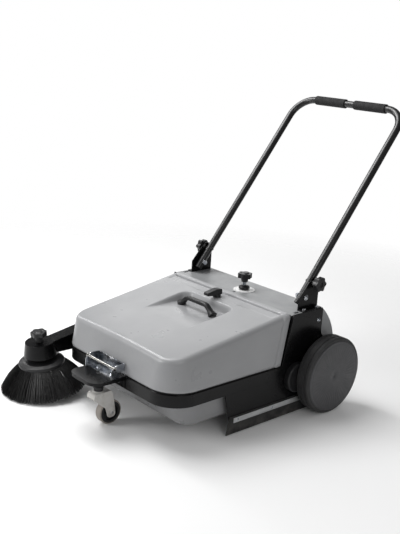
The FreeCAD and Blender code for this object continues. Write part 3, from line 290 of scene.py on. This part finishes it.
def tyre_rubber():
    """Moulded tyre: a fine rib all the way round the tread and grey scuffs."""
    s = Surface("tyre_rubber", (0.028, 0.028, 0.029), 0.6, specular=0.4)
    s.worn_edges(0.0015, (0.07, 0.07, 0.07), 0.6).mottle(24.0, (0.05, 0.05, 0.05), 0.45, 0.75, 0.5)
    s.mottle(300.0, (0.06, 0.06, 0.06), 0.55, 0.75, 0.4).dusty(DUST, 0.0, 0.07, 0.25)
    ribs = s.nodes.new("ShaderNodeTexWave")
    ribs.bands_direction = "X"
    ribs.inputs["Scale"].default_value = 1.0
    s.links.new(s.stretched(95.0), ribs.inputs["Vector"])
    s.bump(ribs.outputs["Fac"], 0.0003)
    return s.patchy(60.0, 0.5, 0.72).grain(900.0, 0.00015, 3.0)


def moulded(name, colour, light, low, high, edge=0.001):
    """Black or grey injection-moulded plastic with a fine spark-eroded grain."""
    s = Surface(name, colour, (low + high) / 2, specular=0.35)
    s.rounded(edge).worn_edges(edge * 1.3, light, 0.45).mottle(26.0, light, 0.5, 0.8, 0.25)
    return s.patchy(50.0, low, high).grain(1200.0, 0.00012)


def knob_plastic():
    return moulded("knob_plastic", (0.014, 0.014, 0.015), (0.05, 0.05, 0.05), 0.26, 0.42, 0.0014)


def black_plastic():
    return moulded("black_plastic", (0.012, 0.012, 0.013), (0.045, 0.045, 0.045), 0.3, 0.46)


def wheel_plastic():
    s = moulded("wheel_plastic", (0.052, 0.052, 0.055), (0.085, 0.085, 0.09), 0.38, 0.52)
    return s.mottle(8.0, (0.066, 0.066, 0.07), 0.35, 0.7, 0.7)


def grip_rubber():
    """Soft foam-like grip with a fine pebble."""
    s = Surface("grip_rubber", (0.015, 0.015, 0.0155), 0.72, specular=0.25)
    s.rounded(0.001).mottle(60.0, (0.028, 0.028, 0.029), 0.4, 0.7, 0.6)
    return s.patchy(70.0, 0.62, 0.8).grain(950.0, 0.0005, 3.0)


def gear_nylon():
    s = Surface("gear_nylon", (0.5, 0.49, 0.44), 0.42, specular=0.5)
    s.rounded(0.0005).mottle(50.0, (0.3, 0.28, 0.24), 0.5, 0.8, 0.4)
    return s.patchy(60.0, 0.34, 0.5).grain(800.0, 0.0001)


def caster_nylon():
    """Pale grey nylon, dirtier towards the floor."""
    s = Surface("caster_nylon", (0.52, 0.51, 0.49), 0.4, specular=0.5)
    s.rounded(0.0016).mottle(60.0, (0.42, 0.4, 0.37), 0.4, 0.75, 0.6)
    s.dusty((0.17, 0.14, 0.12), 0.02, 0.09, 0.7)
    return s.patchy(60.0, 0.34, 0.5).grain(700.0, 0.0002)


def caster_tread():
    s = Surface("caster_tread", (0.26, 0.235, 0.21), 0.6, specular=0.4)
    s.mottle(70.0, (0.17, 0.155, 0.14), 0.4, 0.75, 0.6).mottle(500.0, (0.12, 0.11, 0.1), 0.6, 0.75, 0.5)
    return s.patchy(60.0, 0.5, 0.7).grain(600.0, 0.0003, 3.0)


def bristle_fibre():
    """Black polypropylene filament: lighter strands painted on as highlights, and a slight random difference
    in tone.
    """
    s = Surface("bristle_fibre", (0.006, 0.006, 0.0065), 0.4, specular=0.4)
    # Lighter strands: painted highlights on the filaments.
    s.mottle(240.0, (0.06, 0.059, 0.057), 0.45, 0.7, 0.8, 2.0)
    s.mottle(40.0, (0.012, 0.012, 0.0125), 0.4, 0.7, 0.6)
    return s.patchy(300.0, 0.36, 0.55)


def scale_label():
    """White scale with two grey rings about the height screw."""
    s = Surface("scale_label", (0.7, 0.7, 0.7), 0.35, specular=0.5)
    low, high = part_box("adjuster_ring")
    shift = s.vector_math("SUBTRACT", s.place)
    shift.inputs[1].default_value = (low + high) / 2
    radius = s.vector_math("LENGTH", shift.outputs[0]).outputs["Value"]
    outer = (high.x - low.x) / 2
    for start, end in ((0.80, 0.84), (0.93, 0.97)):  # shares of the ring's outer radius
        inside = s.ramp(radius, outer * start, outer * (start + 0.01))
        beyond = s.ramp(radius, outer * end, outer * (end + 0.01), 1.0, 0.0)
        s.blend(s.times(inside, beyond), (0.3, 0.3, 0.3))
    s.mottle(40.0, (0.6, 0.6, 0.58), 0.45, 0.75, 0.4)
    return s.patchy(50.0, 0.28, 0.42)


def belt_rubber():
    return rubber("belt_rubber", (0.014, 0.014, 0.014), (0.04, 0.04, 0.04), 0.5, 0.65, 1500.0)


def seal_rubber():
    return rubber("seal_rubber", (0.012, 0.012, 0.012), (0.03, 0.03, 0.03), 0.5, 0.7)


BY_SLOT = {
    "frame_black": gloss_black, "deck_grey": deck_paint, "hood_grey": tub_plastic_painted_shade, "zinc": zinc_plate,
    "steel": turned_steel, "strip_aluminium": strip_aluminium, "flap_rubber": flap_rubber,
    "seal_rubber": seal_rubber, "belt_rubber": belt_rubber, "tyre_rubber": tyre_rubber,
    "wheel_plastic": wheel_plastic, "knob_plastic": knob_plastic, "black_plastic": black_plastic,
    "grip_rubber": grip_rubber, "gear_nylon": gear_nylon, "bristle": bristle_fibre,
    "caster_nylon": caster_nylon, "caster_tread": caster_tread, "scale_white": scale_label,
}
MATERIALS = {slot: make().material for slot, make in BY_SLOT.items()}
MATERIALS["hood_top"] = hood_plastic().material
MATERIALS["front_bar"] = polished_bar().material
MATERIALS["handle_tube"] = tube_enamel().material


def dress_frame():
    """Every CAD node gets the material of its slot in the record."""
    for part in frame["record"]["subparts"]:
        mesh = frame["nodes"][part["node"]].data
        mesh.materials.clear()
        mesh.materials.append(MATERIALS.get(part["node"], MATERIALS[part["material_slot"]]))


# ---- mesh helpers ---------------------------------------------------------------------------------------

def piece(name, vertices, faces, material, body, instead_of=(), smooth=True):
    """New mesh object in the row frame that rides on a body and may stand for CAD nodes."""
    mesh = bpy.data.meshes.new(name)
    mesh.from_pydata([tuple(v) for v in vertices], [], faces)
    mesh.validate()
    mesh.update()
    if smooth:
        mesh.polygons.foreach_set("use_smooth", [True] * len(mesh.polygons))
    mesh.materials.append(MATERIALS[material])
    made = bpy.data.objects.new(name, mesh)
    bpy.context.scene.collection.objects.link(made)
    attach(made, body)
    if instead_of:
        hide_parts(*instead_of)
    return made


def thicken(made, wall_mm, offset):
    """Gives a skin its wall, behind its faces at offset -1 and in front of them at 1."""
    wall = made.modifiers.new("wall", "SOLIDIFY")
    wall.thickness = wall_mm * MM
    wall.offset = offset


def grid_faces(rows, columns, wrap_columns=False):
    """Quads over points laid out row by row."""
    faces = []
    for i in range(rows - 1):
        for j in range(columns if wrap_columns else columns - 1):
            here, after = i * columns, (i + 1) * columns
            k = (j + 1) % columns
            faces.append((here + j, here + k, after + k, after + j))
    return faces


def smooth_step(x, low, high):
    """0 up to low, 1 from high on, with an even ease between."""
    t = min(1.0, max(0.0, (x - low) / (high - low)))
    return t * t * (3 - 2 * t)


def soft_min(a, b, k):
    """The lower of two values, rounded over where they are within k of each other."""
    h = max(k - abs(a - b), 0.0) / k
    return min(a, b) - h * h * k / 4


def soft_max(a, b, k):
    return -soft_min(-a, -b, k)


# ---- hood -----------------------------------------------------------------------------------------------

HOOD_LOW, HOOD_REAR_LOW, HOOD_REAR_TOP = 184.0, -190.0, -155.0
HOOD_HALF_LOW, HOOD_HALF_REAR, HOOD_HALF_FRONT = 283.0, 278.0, 261.0
HOOD_FRONT_LOW, HOOD_FRONT_TOP = -638.0, -620.0
HOOD_CORNER_LOW, HOOD_CORNER_TOP = 95.0, 60.0
HOOD_REAR_HEIGHT, HOOD_SLOPE, HOOD_CROWN = 347.0, 0.157, 7.0
RIDGE_END, GUTTER_END, GUTTER_DEPTH = -166.0, -181.0, 8.5
HOOD_SHOULDER, HOOD_WALL = 13.0, 3.2
HOOD_EDGE = 252.0, 262.0  # half widths between which gutter and step run out
STEP_DEPTH = 2.0  # shallow step in front of the gutter
RIM_OUT, GROOVE_IN = 2.9, 4.5  # raised rim and groove down the sides, at the rear
RECESS_HALF, RECESS_REAR, RECESS_FLOOR, RECESS_CORNER = 122.0, -238.0, 305.0, 40.0
RECESS_HALF_LENGTH = 300.0  # so long that the slope drops to the floor before the recess ends
RECESS_FOOT, RECESS_STEEPNESS, RECESS_FILLET, RECESS_RIM = 8.0, 3.2, 7.0, 1.8
WALL_STEPS, SHOULDER_STEPS, TOP_STEPS = 16, 9, 86
SIDE_FINE, SIDE_COARSE, SIDE_FINE_SHARE, ARC_STEPS, FRONT_STEPS = 44, 96, 0.11, 24, 90


def recess_distance(x, y):
    """How far outside the outline of the hand recess a point lies; negative inside it."""
    middle = RECESS_REAR - RECESS_HALF_LENGTH
    dx = abs(x) - (RECESS_HALF - RECESS_CORNER)
    dy = abs(y - middle) - (RECESS_HALF_LENGTH - RECESS_CORNER)
    outside = math.hypot(max(dx, 0.0), max(dy, 0.0))
    return outside + min(max(dx, dy), 0.0) - RECESS_CORNER


def hood_height(x, y):
    """Upper skin of the hood: a gentle slope with a ridge and gutter at the rear and a level recess."""
    forward = (HOOD_REAR_TOP - y) / (HOOD_REAR_TOP - HOOD_FRONT_TOP)
    slope = HOOD_REAR_HEIGHT + HOOD_SLOPE * (y - HOOD_REAR_TOP)
    slope += HOOD_CROWN * smooth_step(forward, 0.45, 1.0) * max(0.0, 1 - (x / HOOD_HALF_FRONT) ** 2)
    inside = 1 - smooth_step(abs(x), *HOOD_EDGE)
    gutter = smooth_step(y, GUTTER_END - 2, GUTTER_END + 3) * (1 - smooth_step(y, RIDGE_END - 3, RIDGE_END))
    step = smooth_step(y, GUTTER_END - 34, GUTTER_END - 28) * (1 - smooth_step(y, GUTTER_END - 6, GUTTER_END))
    z = slope - (GUTTER_DEPTH * gutter + STEP_DEPTH * step) * inside
    wall = RECESS_FLOOR + (recess_distance(x, y) + RECESS_FOOT) * RECESS_STEEPNESS
    return soft_min(z, soft_max(RECESS_FLOOR, wall, RECESS_FILLET), RECESS_RIM)


def side_shares(fine, coarse, fine_share):
    """Places along a side from 0 at the rear to 1, close together over the first part."""
    shares = [fine_share * i / fine for i in range(fine)]
    return shares + [fine_share + (1 - fine_share) * i / coarse for i in range(coarse)]


def u_path(half, front, corner, rear, counts):
    """Points of a U seen from above: rear right, round the front, rear left."""
    shares, arc_count, front_count = counts
    points = [(half, rear + (front + corner - rear) * share) for share in shares]
    for i in range(arc_count):
        a = math.pi / 2 * i / arc_count
        points.append((half - corner + corner * math.cos(a), front + corner - corner * math.sin(a)))
    for i in range(front_count):
        points.append(((half - corner) * (1 - 2 * i / front_count), front))
    for i in range(arc_count):
        a = math.pi / 2 * i / arc_count
        points.append((-half + corner - corner * math.sin(a), front + corner - corner * math.cos(a)))
    points += [(-half, rear + (front + corner - rear) * share) for share in [1.0, *shares[::-1]]]
    return points


def hood():
    """Hood skin as rings that run from its lower edge, over the shoulder and across the top to the middle."""
    counts = (side_shares(SIDE_FINE, SIDE_COARSE, SIDE_FINE_SHARE), ARC_STEPS, FRONT_STEPS)
    half_top = (HOOD_HALF_REAR + HOOD_HALF_FRONT) / 2

    def taper(x, y):
        share = (y - HOOD_REAR_TOP) / (HOOD_FRONT_TOP - HOOD_REAR_TOP)
        return x * (HOOD_HALF_REAR + (HOOD_HALF_FRONT - HOOD_HALF_REAR) * share) / half_top

    def top_ring(inward):
        corner = max(HOOD_CORNER_TOP - inward, 0.0)
        ring = u_path(half_top - inward, HOOD_FRONT_TOP + inward, corner, HOOD_REAR_TOP, counts)
        return [Vector((taper(x, y), y, hood_height(taper(x, y), y))) for x, y in ring]

    low_ring = [Vector((x, y, HOOD_LOW)) for x, y in
                u_path(HOOD_HALF_LOW, HOOD_FRONT_LOW, HOOD_CORNER_LOW, HOOD_REAR_LOW, counts)]
    edge_ring = top_ring(0.0)
    rings = []
    for i in range(WALL_STEPS + 1):
        ring = []
        for low, edge in zip(low_ring, edge_ring):
            reach = 1 - HOOD_SHOULDER / (edge - low).length
            ring.append(low.lerp(edge, reach * i / WALL_STEPS))
        rings.append(ring)
    wall_end, top_start = rings[-1], top_ring(HOOD_SHOULDER)
    for i in range(1, SHOULDER_STEPS):
        s = i / SHOULDER_STEPS
        rings.append([a * (1 - s) ** 2 + b * (2 * s * (1 - s)) + c * s * s
                      for a, b, c in zip(wall_end, edge_ring, top_start)])
    for i in range(TOP_STEPS + 1):
        rings.append(top_ring(HOOD_SHOULDER + (half_top - HOOD_SHOULDER) * i / TOP_STEPS))
    lean = (HOOD_REAR_TOP - HOOD_REAR_LOW) / (HOOD_REAR_HEIGHT - HOOD_LOW)
    shoulder_end = WALL_STEPS + SHOULDER_STEPS
    for k, ring in enumerate(rings[:shoulder_end]):
        fade = 1 - smooth_step(k, WALL_STEPS, shoulder_end)
        for point in ring:
            behind = HOOD_REAR_LOW + (point.z - HOOD_LOW) * lean
            rim = smooth_step(point.y, behind - 11, behind - 9)
            groove = smooth_step(point.y, behind - 26, behind - 20) - rim
            point.x += math.copysign((RIM_OUT * rim - GROOVE_IN * groove) * fade, point.x)
    vertices = [at(*p) for ring in rings for p in ring]
    faces = grid_faces(len(rings), len(low_ring))
    skin = piece("hood_shell", vertices, faces, "hood_top", "hopper", ("hopper_hood",))
    seam = skin.modifiers.new("seam", "WELD")
    seam.merge_threshold = 0.05 * MM
    thicken(skin, HOOD_WALL, -1.0)


# ---- bristles -------------------------------------------------------------------------------------------

FILAMENT_TAPER = 0.45


def filaments(name, strands, width, body, instead_of, segments):
    """Thin three-sided bristles from a root to a tip, the middle bowed aside by a third vector (mm)."""
    vertices, faces = [], []
    for root, tip, bow in strands:
        axis = (tip - root).normalized()
        side = axis.cross(Vector((0, 0, 1)) if abs(axis.z) < 0.9 else Vector((1, 0, 0))).normalized()
        other = axis.cross(side)
        first = len(vertices)
        for k in range(segments + 1):
            t = k / segments
            centre = root.lerp(tip, t) + bow * (4 * t * (1 - t))
            reach = width * (1.0 - FILAMENT_TAPER * t)
            for corner in range(3):
                a = 2 * math.pi * corner / 3
                point = centre + side * (reach * math.cos(a)) + other * (reach * math.sin(a))
                vertices.append(at(*point))
        for k in range(segments):
            for corner in range(3):
                a, b = first + 3 * k + corner, first + 3 * k + (corner + 1) % 3
                faces.append((a, b, b + 3, a + 3))
        last = first + 3 * segments
        faces.append((first + 2, first + 1, first))
        faces.append((last, last + 1, last + 2))
    piece(name, vertices, faces, "bristle", body, (instead_of,), smooth=False)


SIDE_HEAD = Vector((-328.0, -692.0, 141.0))
SIDE_TILT = math.radians(7.0)
SIDE_TUFTS, SIDE_WIDTH, SIDE_TIP_Z = 96, 0.85, 18.0
# Radius at the root and at the tip, height of the root, and bristles in a tuft.
SIDE_LAYERS = ((73, 141, 98, 19), (66, 131, 100, 15), (58, 118, 102, 8))


def tilted(point):
    """Leans a point forward with the head of the side brush."""
    return SIDE_HEAD + Matrix.Rotation(SIDE_TILT, 3, "X") @ (point - SIDE_HEAD)


def side_brush():
    """Skirt of filaments in loose tufts, from the ring down to the floor."""
    chance = random.Random(4)
    strands = []
    for layer, (root_r, tip_r, root_z, count) in enumerate(SIDE_LAYERS):
        for tuft in range(SIDE_TUFTS):
            centre = 2 * math.pi * (tuft + 0.33 * layer) / SIDE_TUFTS
            drift = chance.gauss(0, 0.014)
            for _ in range(count):
                a = centre + chance.uniform(-0.36, 0.36) * 2 * math.pi / SIDE_TUFTS
                b = centre + drift + chance.gauss(0, 0.021)
                reach = tip_r + chance.uniform(-5, 2.5)
                out = Vector((math.cos(a), math.sin(a), 0))
                tip_out = Vector((math.cos(b), math.sin(b), 0))
                root = SIDE_HEAD + out * root_r
                tip = SIDE_HEAD + tip_out * reach
                root.z = root_z + chance.uniform(-1, 1)
                tip.z = SIDE_TIP_Z + abs(chance.gauss(0, 3.0))
                bow = tilted(SIDE_HEAD + tip_out * 3.5 + Vector((0, 0, 3.0))) - SIDE_HEAD
                strands.append((tilted(root), tilted(tip), bow))
    filaments("side_brush_filaments", strands, SIDE_WIDTH, "side_brush", "side_brush_bristles", segments=4)


BRUSH_Y, BRUSH_Z, BRUSH_REACH, BRUSH_HALF, BRUSH_CORE = -112.0, 130.0, 126.0, 243.0, 21.0
BRUSH_ROWS, BRUSH_TWIST, BRUSH_START = 6, math.radians(28), math.radians(15)
BRUSH_COLUMNS, BRUSH_TUFT, BRUSH_WIDTH = 84, 9, 0.9


def main_brush():
    """V-shaped rows of filament tufts on the roller."""
    chance = random.Random(9)
    strands = []
    for row in range(BRUSH_ROWS):
        for column in range(BRUSH_COLUMNS):
            x = -BRUSH_HALF + 2 * BRUSH_HALF * (column + 0.5) / BRUSH_COLUMNS
            turn = BRUSH_START + 2 * math.pi * row / BRUSH_ROWS + BRUSH_TWIST * (1 - abs(x) / BRUSH_HALF)
            for _ in range(BRUSH_TUFT):
                a = turn + chance.gauss(0, 0.035)
                b = turn + chance.gauss(0, 0.032)
                reach = BRUSH_REACH + chance.uniform(-3, 0.8)
                dx = chance.gauss(0, 1.6)
                root_y, root_z = BRUSH_Y + BRUSH_CORE * math.cos(a), BRUSH_Z + BRUSH_CORE * math.sin(a)
                root = Vector((x + dx * 0.4, root_y, root_z))
                tip = Vector((x + dx, BRUSH_Y + reach * math.cos(b), BRUSH_Z + reach * math.sin(b)))
                strands.append((root, tip, Vector((0, 0, 0))))
    filaments("main_brush_filaments", strands, BRUSH_WIDTH, "main_brush", "main_brush_bristles", segments=1)


# ---- wheel covers ---------------------------------------------------------------------------------------

WHEEL_HEIGHT = 130.0
COVER_RIBS, POINTS_PER_RIB, RIB_DEPTH, COVER_WALL = 48, 6, 0.55, 1.6
COVER_PROFILE = (  # radius, and how far beyond the CAD cover's face; negative is short of it
    (0.5, -2.0), (14, -1.9), (17, -1.2), (22, -1.0), (30, -0.9), (44, -0.7), (60, -0.5), (78, -0.4),
    (94, -0.4), (104, -0.5), (108, -0.7), (111, -1.4), (113, -0.9), (116, -0.7), (118.5, -1.6), (119.5, -3.4),
)


def wheel_cover(side):
    """Domed snap-on disc with fine ribs that fan out from the middle."""
    sign = 1 if side == "left" else -1
    low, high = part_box("wheel_cover_" + side)
    face = (high.x if sign > 0 else low.x) / MM - ZERO.x / MM
    columns = COVER_RIBS * POINTS_PER_RIB
    vertices = []
    for radius, depth in COVER_PROFILE:
        fan = smooth_step(radius, 26, 48) * (1 - smooth_step(radius, 98, 106))
        for column in range(columns):
            a = 2 * math.pi * column / columns
            rise = -RIB_DEPTH * fan * (0.5 - 0.5 * math.cos(2 * math.pi * column / POINTS_PER_RIB))
            x = face + sign * (depth + rise)
            vertices.append(at(x, radius * math.cos(a), WHEEL_HEIGHT + radius * math.sin(a)))
    faces = grid_faces(len(COVER_PROFILE), columns, wrap_columns=True)
    faces.append(tuple(range(columns)))
    if sign < 0:
        faces = [f[::-1] for f in faces]
    cover = piece("wheel_trim_" + side, vertices, faces, "wheel_plastic", "wheel_" + side,
                  ("wheel_cover_" + side,))
    thicken(cover, COVER_WALL, 1.0)


# ---- carry handle ---------------------------------------------------------------------------------------

GRIP_HALF, GRIP_STATIONS, GRIP_SIDES = 80, 36, 20
GRIP_WIDE, GRIP_THICK, FOOT_WIDE, FOOT_THICK = 9.5, 7.5, 6.0, 5.0  # half sizes, and what the feet add
GRIP_SQUARENESS = 0.75  # below 1 the oval is fuller at its corners


def fuller(value):
    return math.copysign(abs(value) ** GRIP_SQUARENESS, value)


def carry_handle():
    """Bridge handle: oval in section, with flared feet."""
    low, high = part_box("carry_handle")
    base, top = low.z / MM, high.z / MM
    middle_y = ((low.y + high.y) / 2 - ZERO.y) / MM
    stations = []
    for i in range(GRIP_STATIONS + 1):
        t = -1 + 2 * i / GRIP_STATIONS
        x = GRIP_HALF * math.copysign(abs(t) ** 0.9, t)
        lift = 1 - smooth_step(abs(t), 0.45, 1.0)
        z = base + 6 + (top - base - 14) * (lift ** 0.75)
        flare = smooth_step(abs(t), 0.72, 1.0)
        stations.append((x, z, GRIP_WIDE + FOOT_WIDE * flare, GRIP_THICK + FOOT_THICK * flare))
    vertices = []
    for i, (x, z, wide, thick) in enumerate(stations):
        before, after = stations[max(0, i - 1)], stations[min(GRIP_STATIONS, i + 1)]
        along = Vector((after[0] - before[0], 0, after[1] - before[1])).normalized()
        up = Vector((-along.z, 0, along.x))
        for k in range(GRIP_SIDES):
            a = 2 * math.pi * k / GRIP_SIDES
            across = Vector((0, 1, 0)) * (wide * fuller(math.cos(a)))
            point = Vector((x, middle_y, z)) + (across + up * (thick * fuller(math.sin(a))))
            point.z = max(point.z, base + 0.4)
            vertices.append(at(*point))
    faces = grid_faces(len(stations), GRIP_SIDES, wrap_columns=True)
    faces.append(tuple(range(GRIP_SIDES))[::-1])
    faces.append(tuple(range(GRIP_STATIONS * GRIP_SIDES, (GRIP_STATIONS + 1) * GRIP_SIDES)))
    piece("carry_grip", vertices, faces, "knob_plastic", "hopper", ("carry_handle",))


# ---- caster ---------------------------------------------------------------------------------------------

CASTER_Y, SHELF_UNDER = -687.0, 172.0
# Fork outlines as (y, z, corner radius); profiles as (radius, z).
FORK_LEG = ((-713, 116, 12), (-716, 96, 8), (-701, 84, 16), (-671, 60, 12), (-662, 26, 13), (-633, 26, 13),
            (-637, 60, 20), (-643, 98, 10), (-650, 116, 12))
FORK_TOP = ((-713, 116, 12), (-716, 97, 4), (-642, 97, 4), (-650, 116, 12))
LEG_INNER, LEG_OUTER, FORK_TOP_HALF = 15.6, 20.0, 19.0
HOUSING_DOME = ((20.0, 98.0), (21.5, 106.0), (20.5, 114.0), (16.0, 119.0), (9.0, 120.5))
STEM = ((8.0, 94.0), (14.5, 95.0), (14.5, 126.0), (16.5, 127.5), (16.5, 133.0), (14.5, 134.5),
        (14.5, SHELF_UNDER), (8.9, SHELF_UNDER), (8.9, 175.6), (8.2, 176.3))
FORK_VOXEL, FORK_SMOOTHING = 0.9, 7


def rounded_outline(corners, steps=8):
    """Closed outline through (a, b, radius) corners, each rounded to its radius."""
    points = []
    for i, (a, b, radius) in enumerate(corners):
        here = Vector((a, b))
        back = (Vector(corners[i - 1][:2]) - here).normalized()
        ahead = (Vector(corners[(i + 1) % len(corners)][:2]) - here).normalized()
        half = back.angle(ahead) / 2
        start, end = here + back * (radius / math.tan(half)), here + ahead * (radius / math.tan(half))
        for k in range(steps + 1):
            t = k / steps
            points.append(start * (1 - t) ** 2 + here * (2 * t * (1 - t)) + end * t * t)
    return points


def prism_along_x(vertices, faces, outline, x0, x1):
    """Adds a closed prism over a (y, z) outline to a growing mesh."""
    first, count = len(vertices), len(outline)
    for x in (x0, x1):
        vertices += [at(x, y, z) for y, z in outline]
    for i in range(count):
        j = (i + 1) % count
        faces.append((first + i, first + j, first + count + j, first + count + i))
    faces.append(tuple(range(first, first + count))[::-1])
    faces.append(tuple(range(first + count, first + 2 * count)))


def turned(vertices, faces, profile, y, sides=48):
    """Adds a closed body of revolution about the upright line at y to a growing mesh."""
    first = len(vertices)
    for radius, z in profile:
        for i in range(sides):
            a = 2 * math.pi * i / sides
            vertices.append(at(radius * math.cos(a), y + radius * math.sin(a), z))
    faces += [tuple(first + v for v in face) for face in grid_faces(len(profile), sides, wrap_columns=True)]
    faces.append(tuple(range(first, first + sides))[::-1])
    faces.append(tuple(range(first + (len(profile) - 1) * sides, first + len(profile) * sides)))


def caster():
    """Moulded fork with a domed housing, grown together from its walls, and the stem into the shelf."""
    vertices, faces = [], []
    for x0, x1 in ((-LEG_OUTER, -LEG_INNER), (LEG_INNER, LEG_OUTER)):
        prism_along_x(vertices, faces, rounded_outline(FORK_LEG), x0, x1)
    prism_along_x(vertices, faces, rounded_outline(FORK_TOP), -FORK_TOP_HALF, FORK_TOP_HALF)
    turned(vertices, faces, HOUSING_DOME, CASTER_Y)
    fork = piece("caster_housing", vertices, faces, "caster_nylon", "caster_swivel_fork",
                 ("caster_fork",))
    walls = fork.modifiers.new("walls", "REMESH")
    walls.mode, walls.voxel_size, walls.use_smooth_shade = "VOXEL", FORK_VOXEL * MM, True
    soft = fork.modifiers.new("soft", "SMOOTH")
    soft.factor, soft.iterations = 0.5, FORK_SMOOTHING
    vertices, faces = [], []
    turned(vertices, faces, STEM, CASTER_Y)
    piece("caster_stem", vertices, faces, "black_plastic", "chassis", ("caster_collar",),
          smooth=False)


# ---- studio ---------------------------------------------------------------------------------------------

WORLD_FILL, WORLD_GLOSS = 0.37, 0.15
FLOOR_COLOUR, FLOOR_MOTTLE, FLOOR_FADE = (0.86, 0.86, 0.86), (0.84, 0.84, 0.84), (1.1, 2.6)
SOFT_LIGHTS = (
    # name, place and aim in metres, size in metres, watts
    ("overhead", (-1.1, -0.6, 2.8), (0.0, -0.2, 0.3), (1.8, 1.8), 68),
    ("front_left", (-1.5, -3.1, 1.5), (0.0, -0.3, 0.2), (1.3, 1.3), 46),
    ("left_strip", (-2.2, -0.3, 2.1), (0.0, -0.4, 0.3), (0.35, 2.4), 24),
    ("sheen", (-2.6, 2.3, 1.9), (0.0, -0.3, 0.3), (2.2, 1.6), 18),
    ("right_soft", (2.9, -1.1, 1.5), (0.0, -0.2, 0.2), (1.1, 1.1), 13),
)


def soft_light(name, centre, aim, size, watts):
    data = bpy.data.lights.new(name, "AREA")
    data.shape = "RECTANGLE"
    data.size, data.size_y = size
    data.energy = watts
    lamp = bpy.data.objects.new(name, data)
    bpy.context.scene.collection.objects.link(lamp)
    lamp.location = centre
    lamp.rotation_mode = "QUATERNION"
    lamp.rotation_quaternion = (Vector(aim) - Vector(centre)).to_track_quat("-Z", "Y")


def studio_floor():
    """Round pale floor that fades out into the backdrop."""
    sides, outer = 96, FLOOR_FADE[1]
    rim = [(outer * math.cos(2 * math.pi * i / sides), outer * math.sin(2 * math.pi * i / sides), 0)
           for i in range(sides)]
    mesh = bpy.data.meshes.new("studio_floor")
    mesh.from_pydata(rim, [], [tuple(range(sides))])
    floor = bpy.data.objects.new("studio_floor", mesh)
    bpy.context.scene.collection.objects.link(floor)
    paint = Surface("studio_floor", FLOOR_COLOUR, 0.6, specular=0.2)
    paint.mottle(0.8, FLOOR_MOTTLE, 0.3, 0.7, 0.6)
    distance = paint.vector_math("LENGTH", paint.place).outputs["Value"]
    paint.links.new(paint.ramp(distance, *FLOOR_FADE, 1.0, 0.0), paint.shader.inputs["Alpha"])
    mesh.materials.append(paint.material)


def studio_world():
    """White backdrop for the camera, a soft fill for the object and a dimmer one for its reflections."""
    world = bpy.data.worlds.new("studio")
    bpy.context.scene.world = world
    world.use_nodes = True
    nodes, links = world.node_tree.nodes, world.node_tree.links
    backdrop, fill, dim = nodes["Background"], *(nodes.new("ShaderNodeBackground") for _ in range(2))
    for node, strength in ((backdrop, 1.0), (fill, WORLD_FILL), (dim, WORLD_GLOSS)):
        node.inputs["Color"].default_value = (1, 1, 1, 1)
        node.inputs["Strength"].default_value = strength
    seen, either = nodes.new("ShaderNodeLightPath"), nodes.new("ShaderNodeMixShader")
    mirrored = nodes.new("ShaderNodeMixShader")
    links.new(seen.outputs["Is Glossy Ray"], mirrored.inputs[0])
    links.new(fill.outputs[0], mirrored.inputs[1])
    links.new(dim.outputs[0], mirrored.inputs[2])
    links.new(seen.outputs["Is Camera Ray"], either.inputs[0])
    links.new(mirrored.outputs[0], either.inputs[1])
    links.new(backdrop.outputs[0], either.inputs[2])
    links.new(either.outputs[0], nodes["World Output"].inputs["Surface"])


def studio():
    studio_floor()
    studio_world()
    for lamp in SOFT_LIGHTS:
        soft_light(*lamp)
    bpy.context.scene.view_settings.view_transform = "Standard"


CAMERA_MM = (1959.3, -2085.6, 1191.4)
CAMERA_AZIMUTH, CAMERA_ELEVATION, CAMERA_ROLL = math.radians(47.6), math.radians(15.5), math.radians(3.4)
CAMERA_LENS = 57.0


def camera():
    """Camera at the photo's viewing angle."""
    a, e, r = CAMERA_AZIMUTH, CAMERA_ELEVATION, CAMERA_ROLL
    back = Vector((math.sin(a) * math.cos(e), -math.cos(a) * math.cos(e), math.sin(e)))
    level = Vector((math.cos(a), math.sin(a), 0))
    rise = back.cross(level)
    right = level * math.cos(r) + rise * math.sin(r)
    up = rise * math.cos(r) - level * math.sin(r)
    data = bpy.data.cameras.new("camera")
    data.lens = CAMERA_LENS
    data.sensor_width = 36.0
    data.clip_start, data.clip_end = 0.05, 60.0
    made = bpy.data.objects.new("camera", data)
    bpy.context.scene.collection.objects.link(made)
    turn = Matrix((right, up, back)).transposed().to_4x4()
    made.matrix_world = Matrix.Translation(at(*CAMERA_MM)) @ turn
    bpy.context.scene.camera = made


# ---- build ----------------------------------------------------------------------------------------------

studio()
camera()
dress_frame()
hood()
side_brush()
main_brush()
for name in ("left", "right"):
    wheel_cover(name)
carry_handle()
caster()
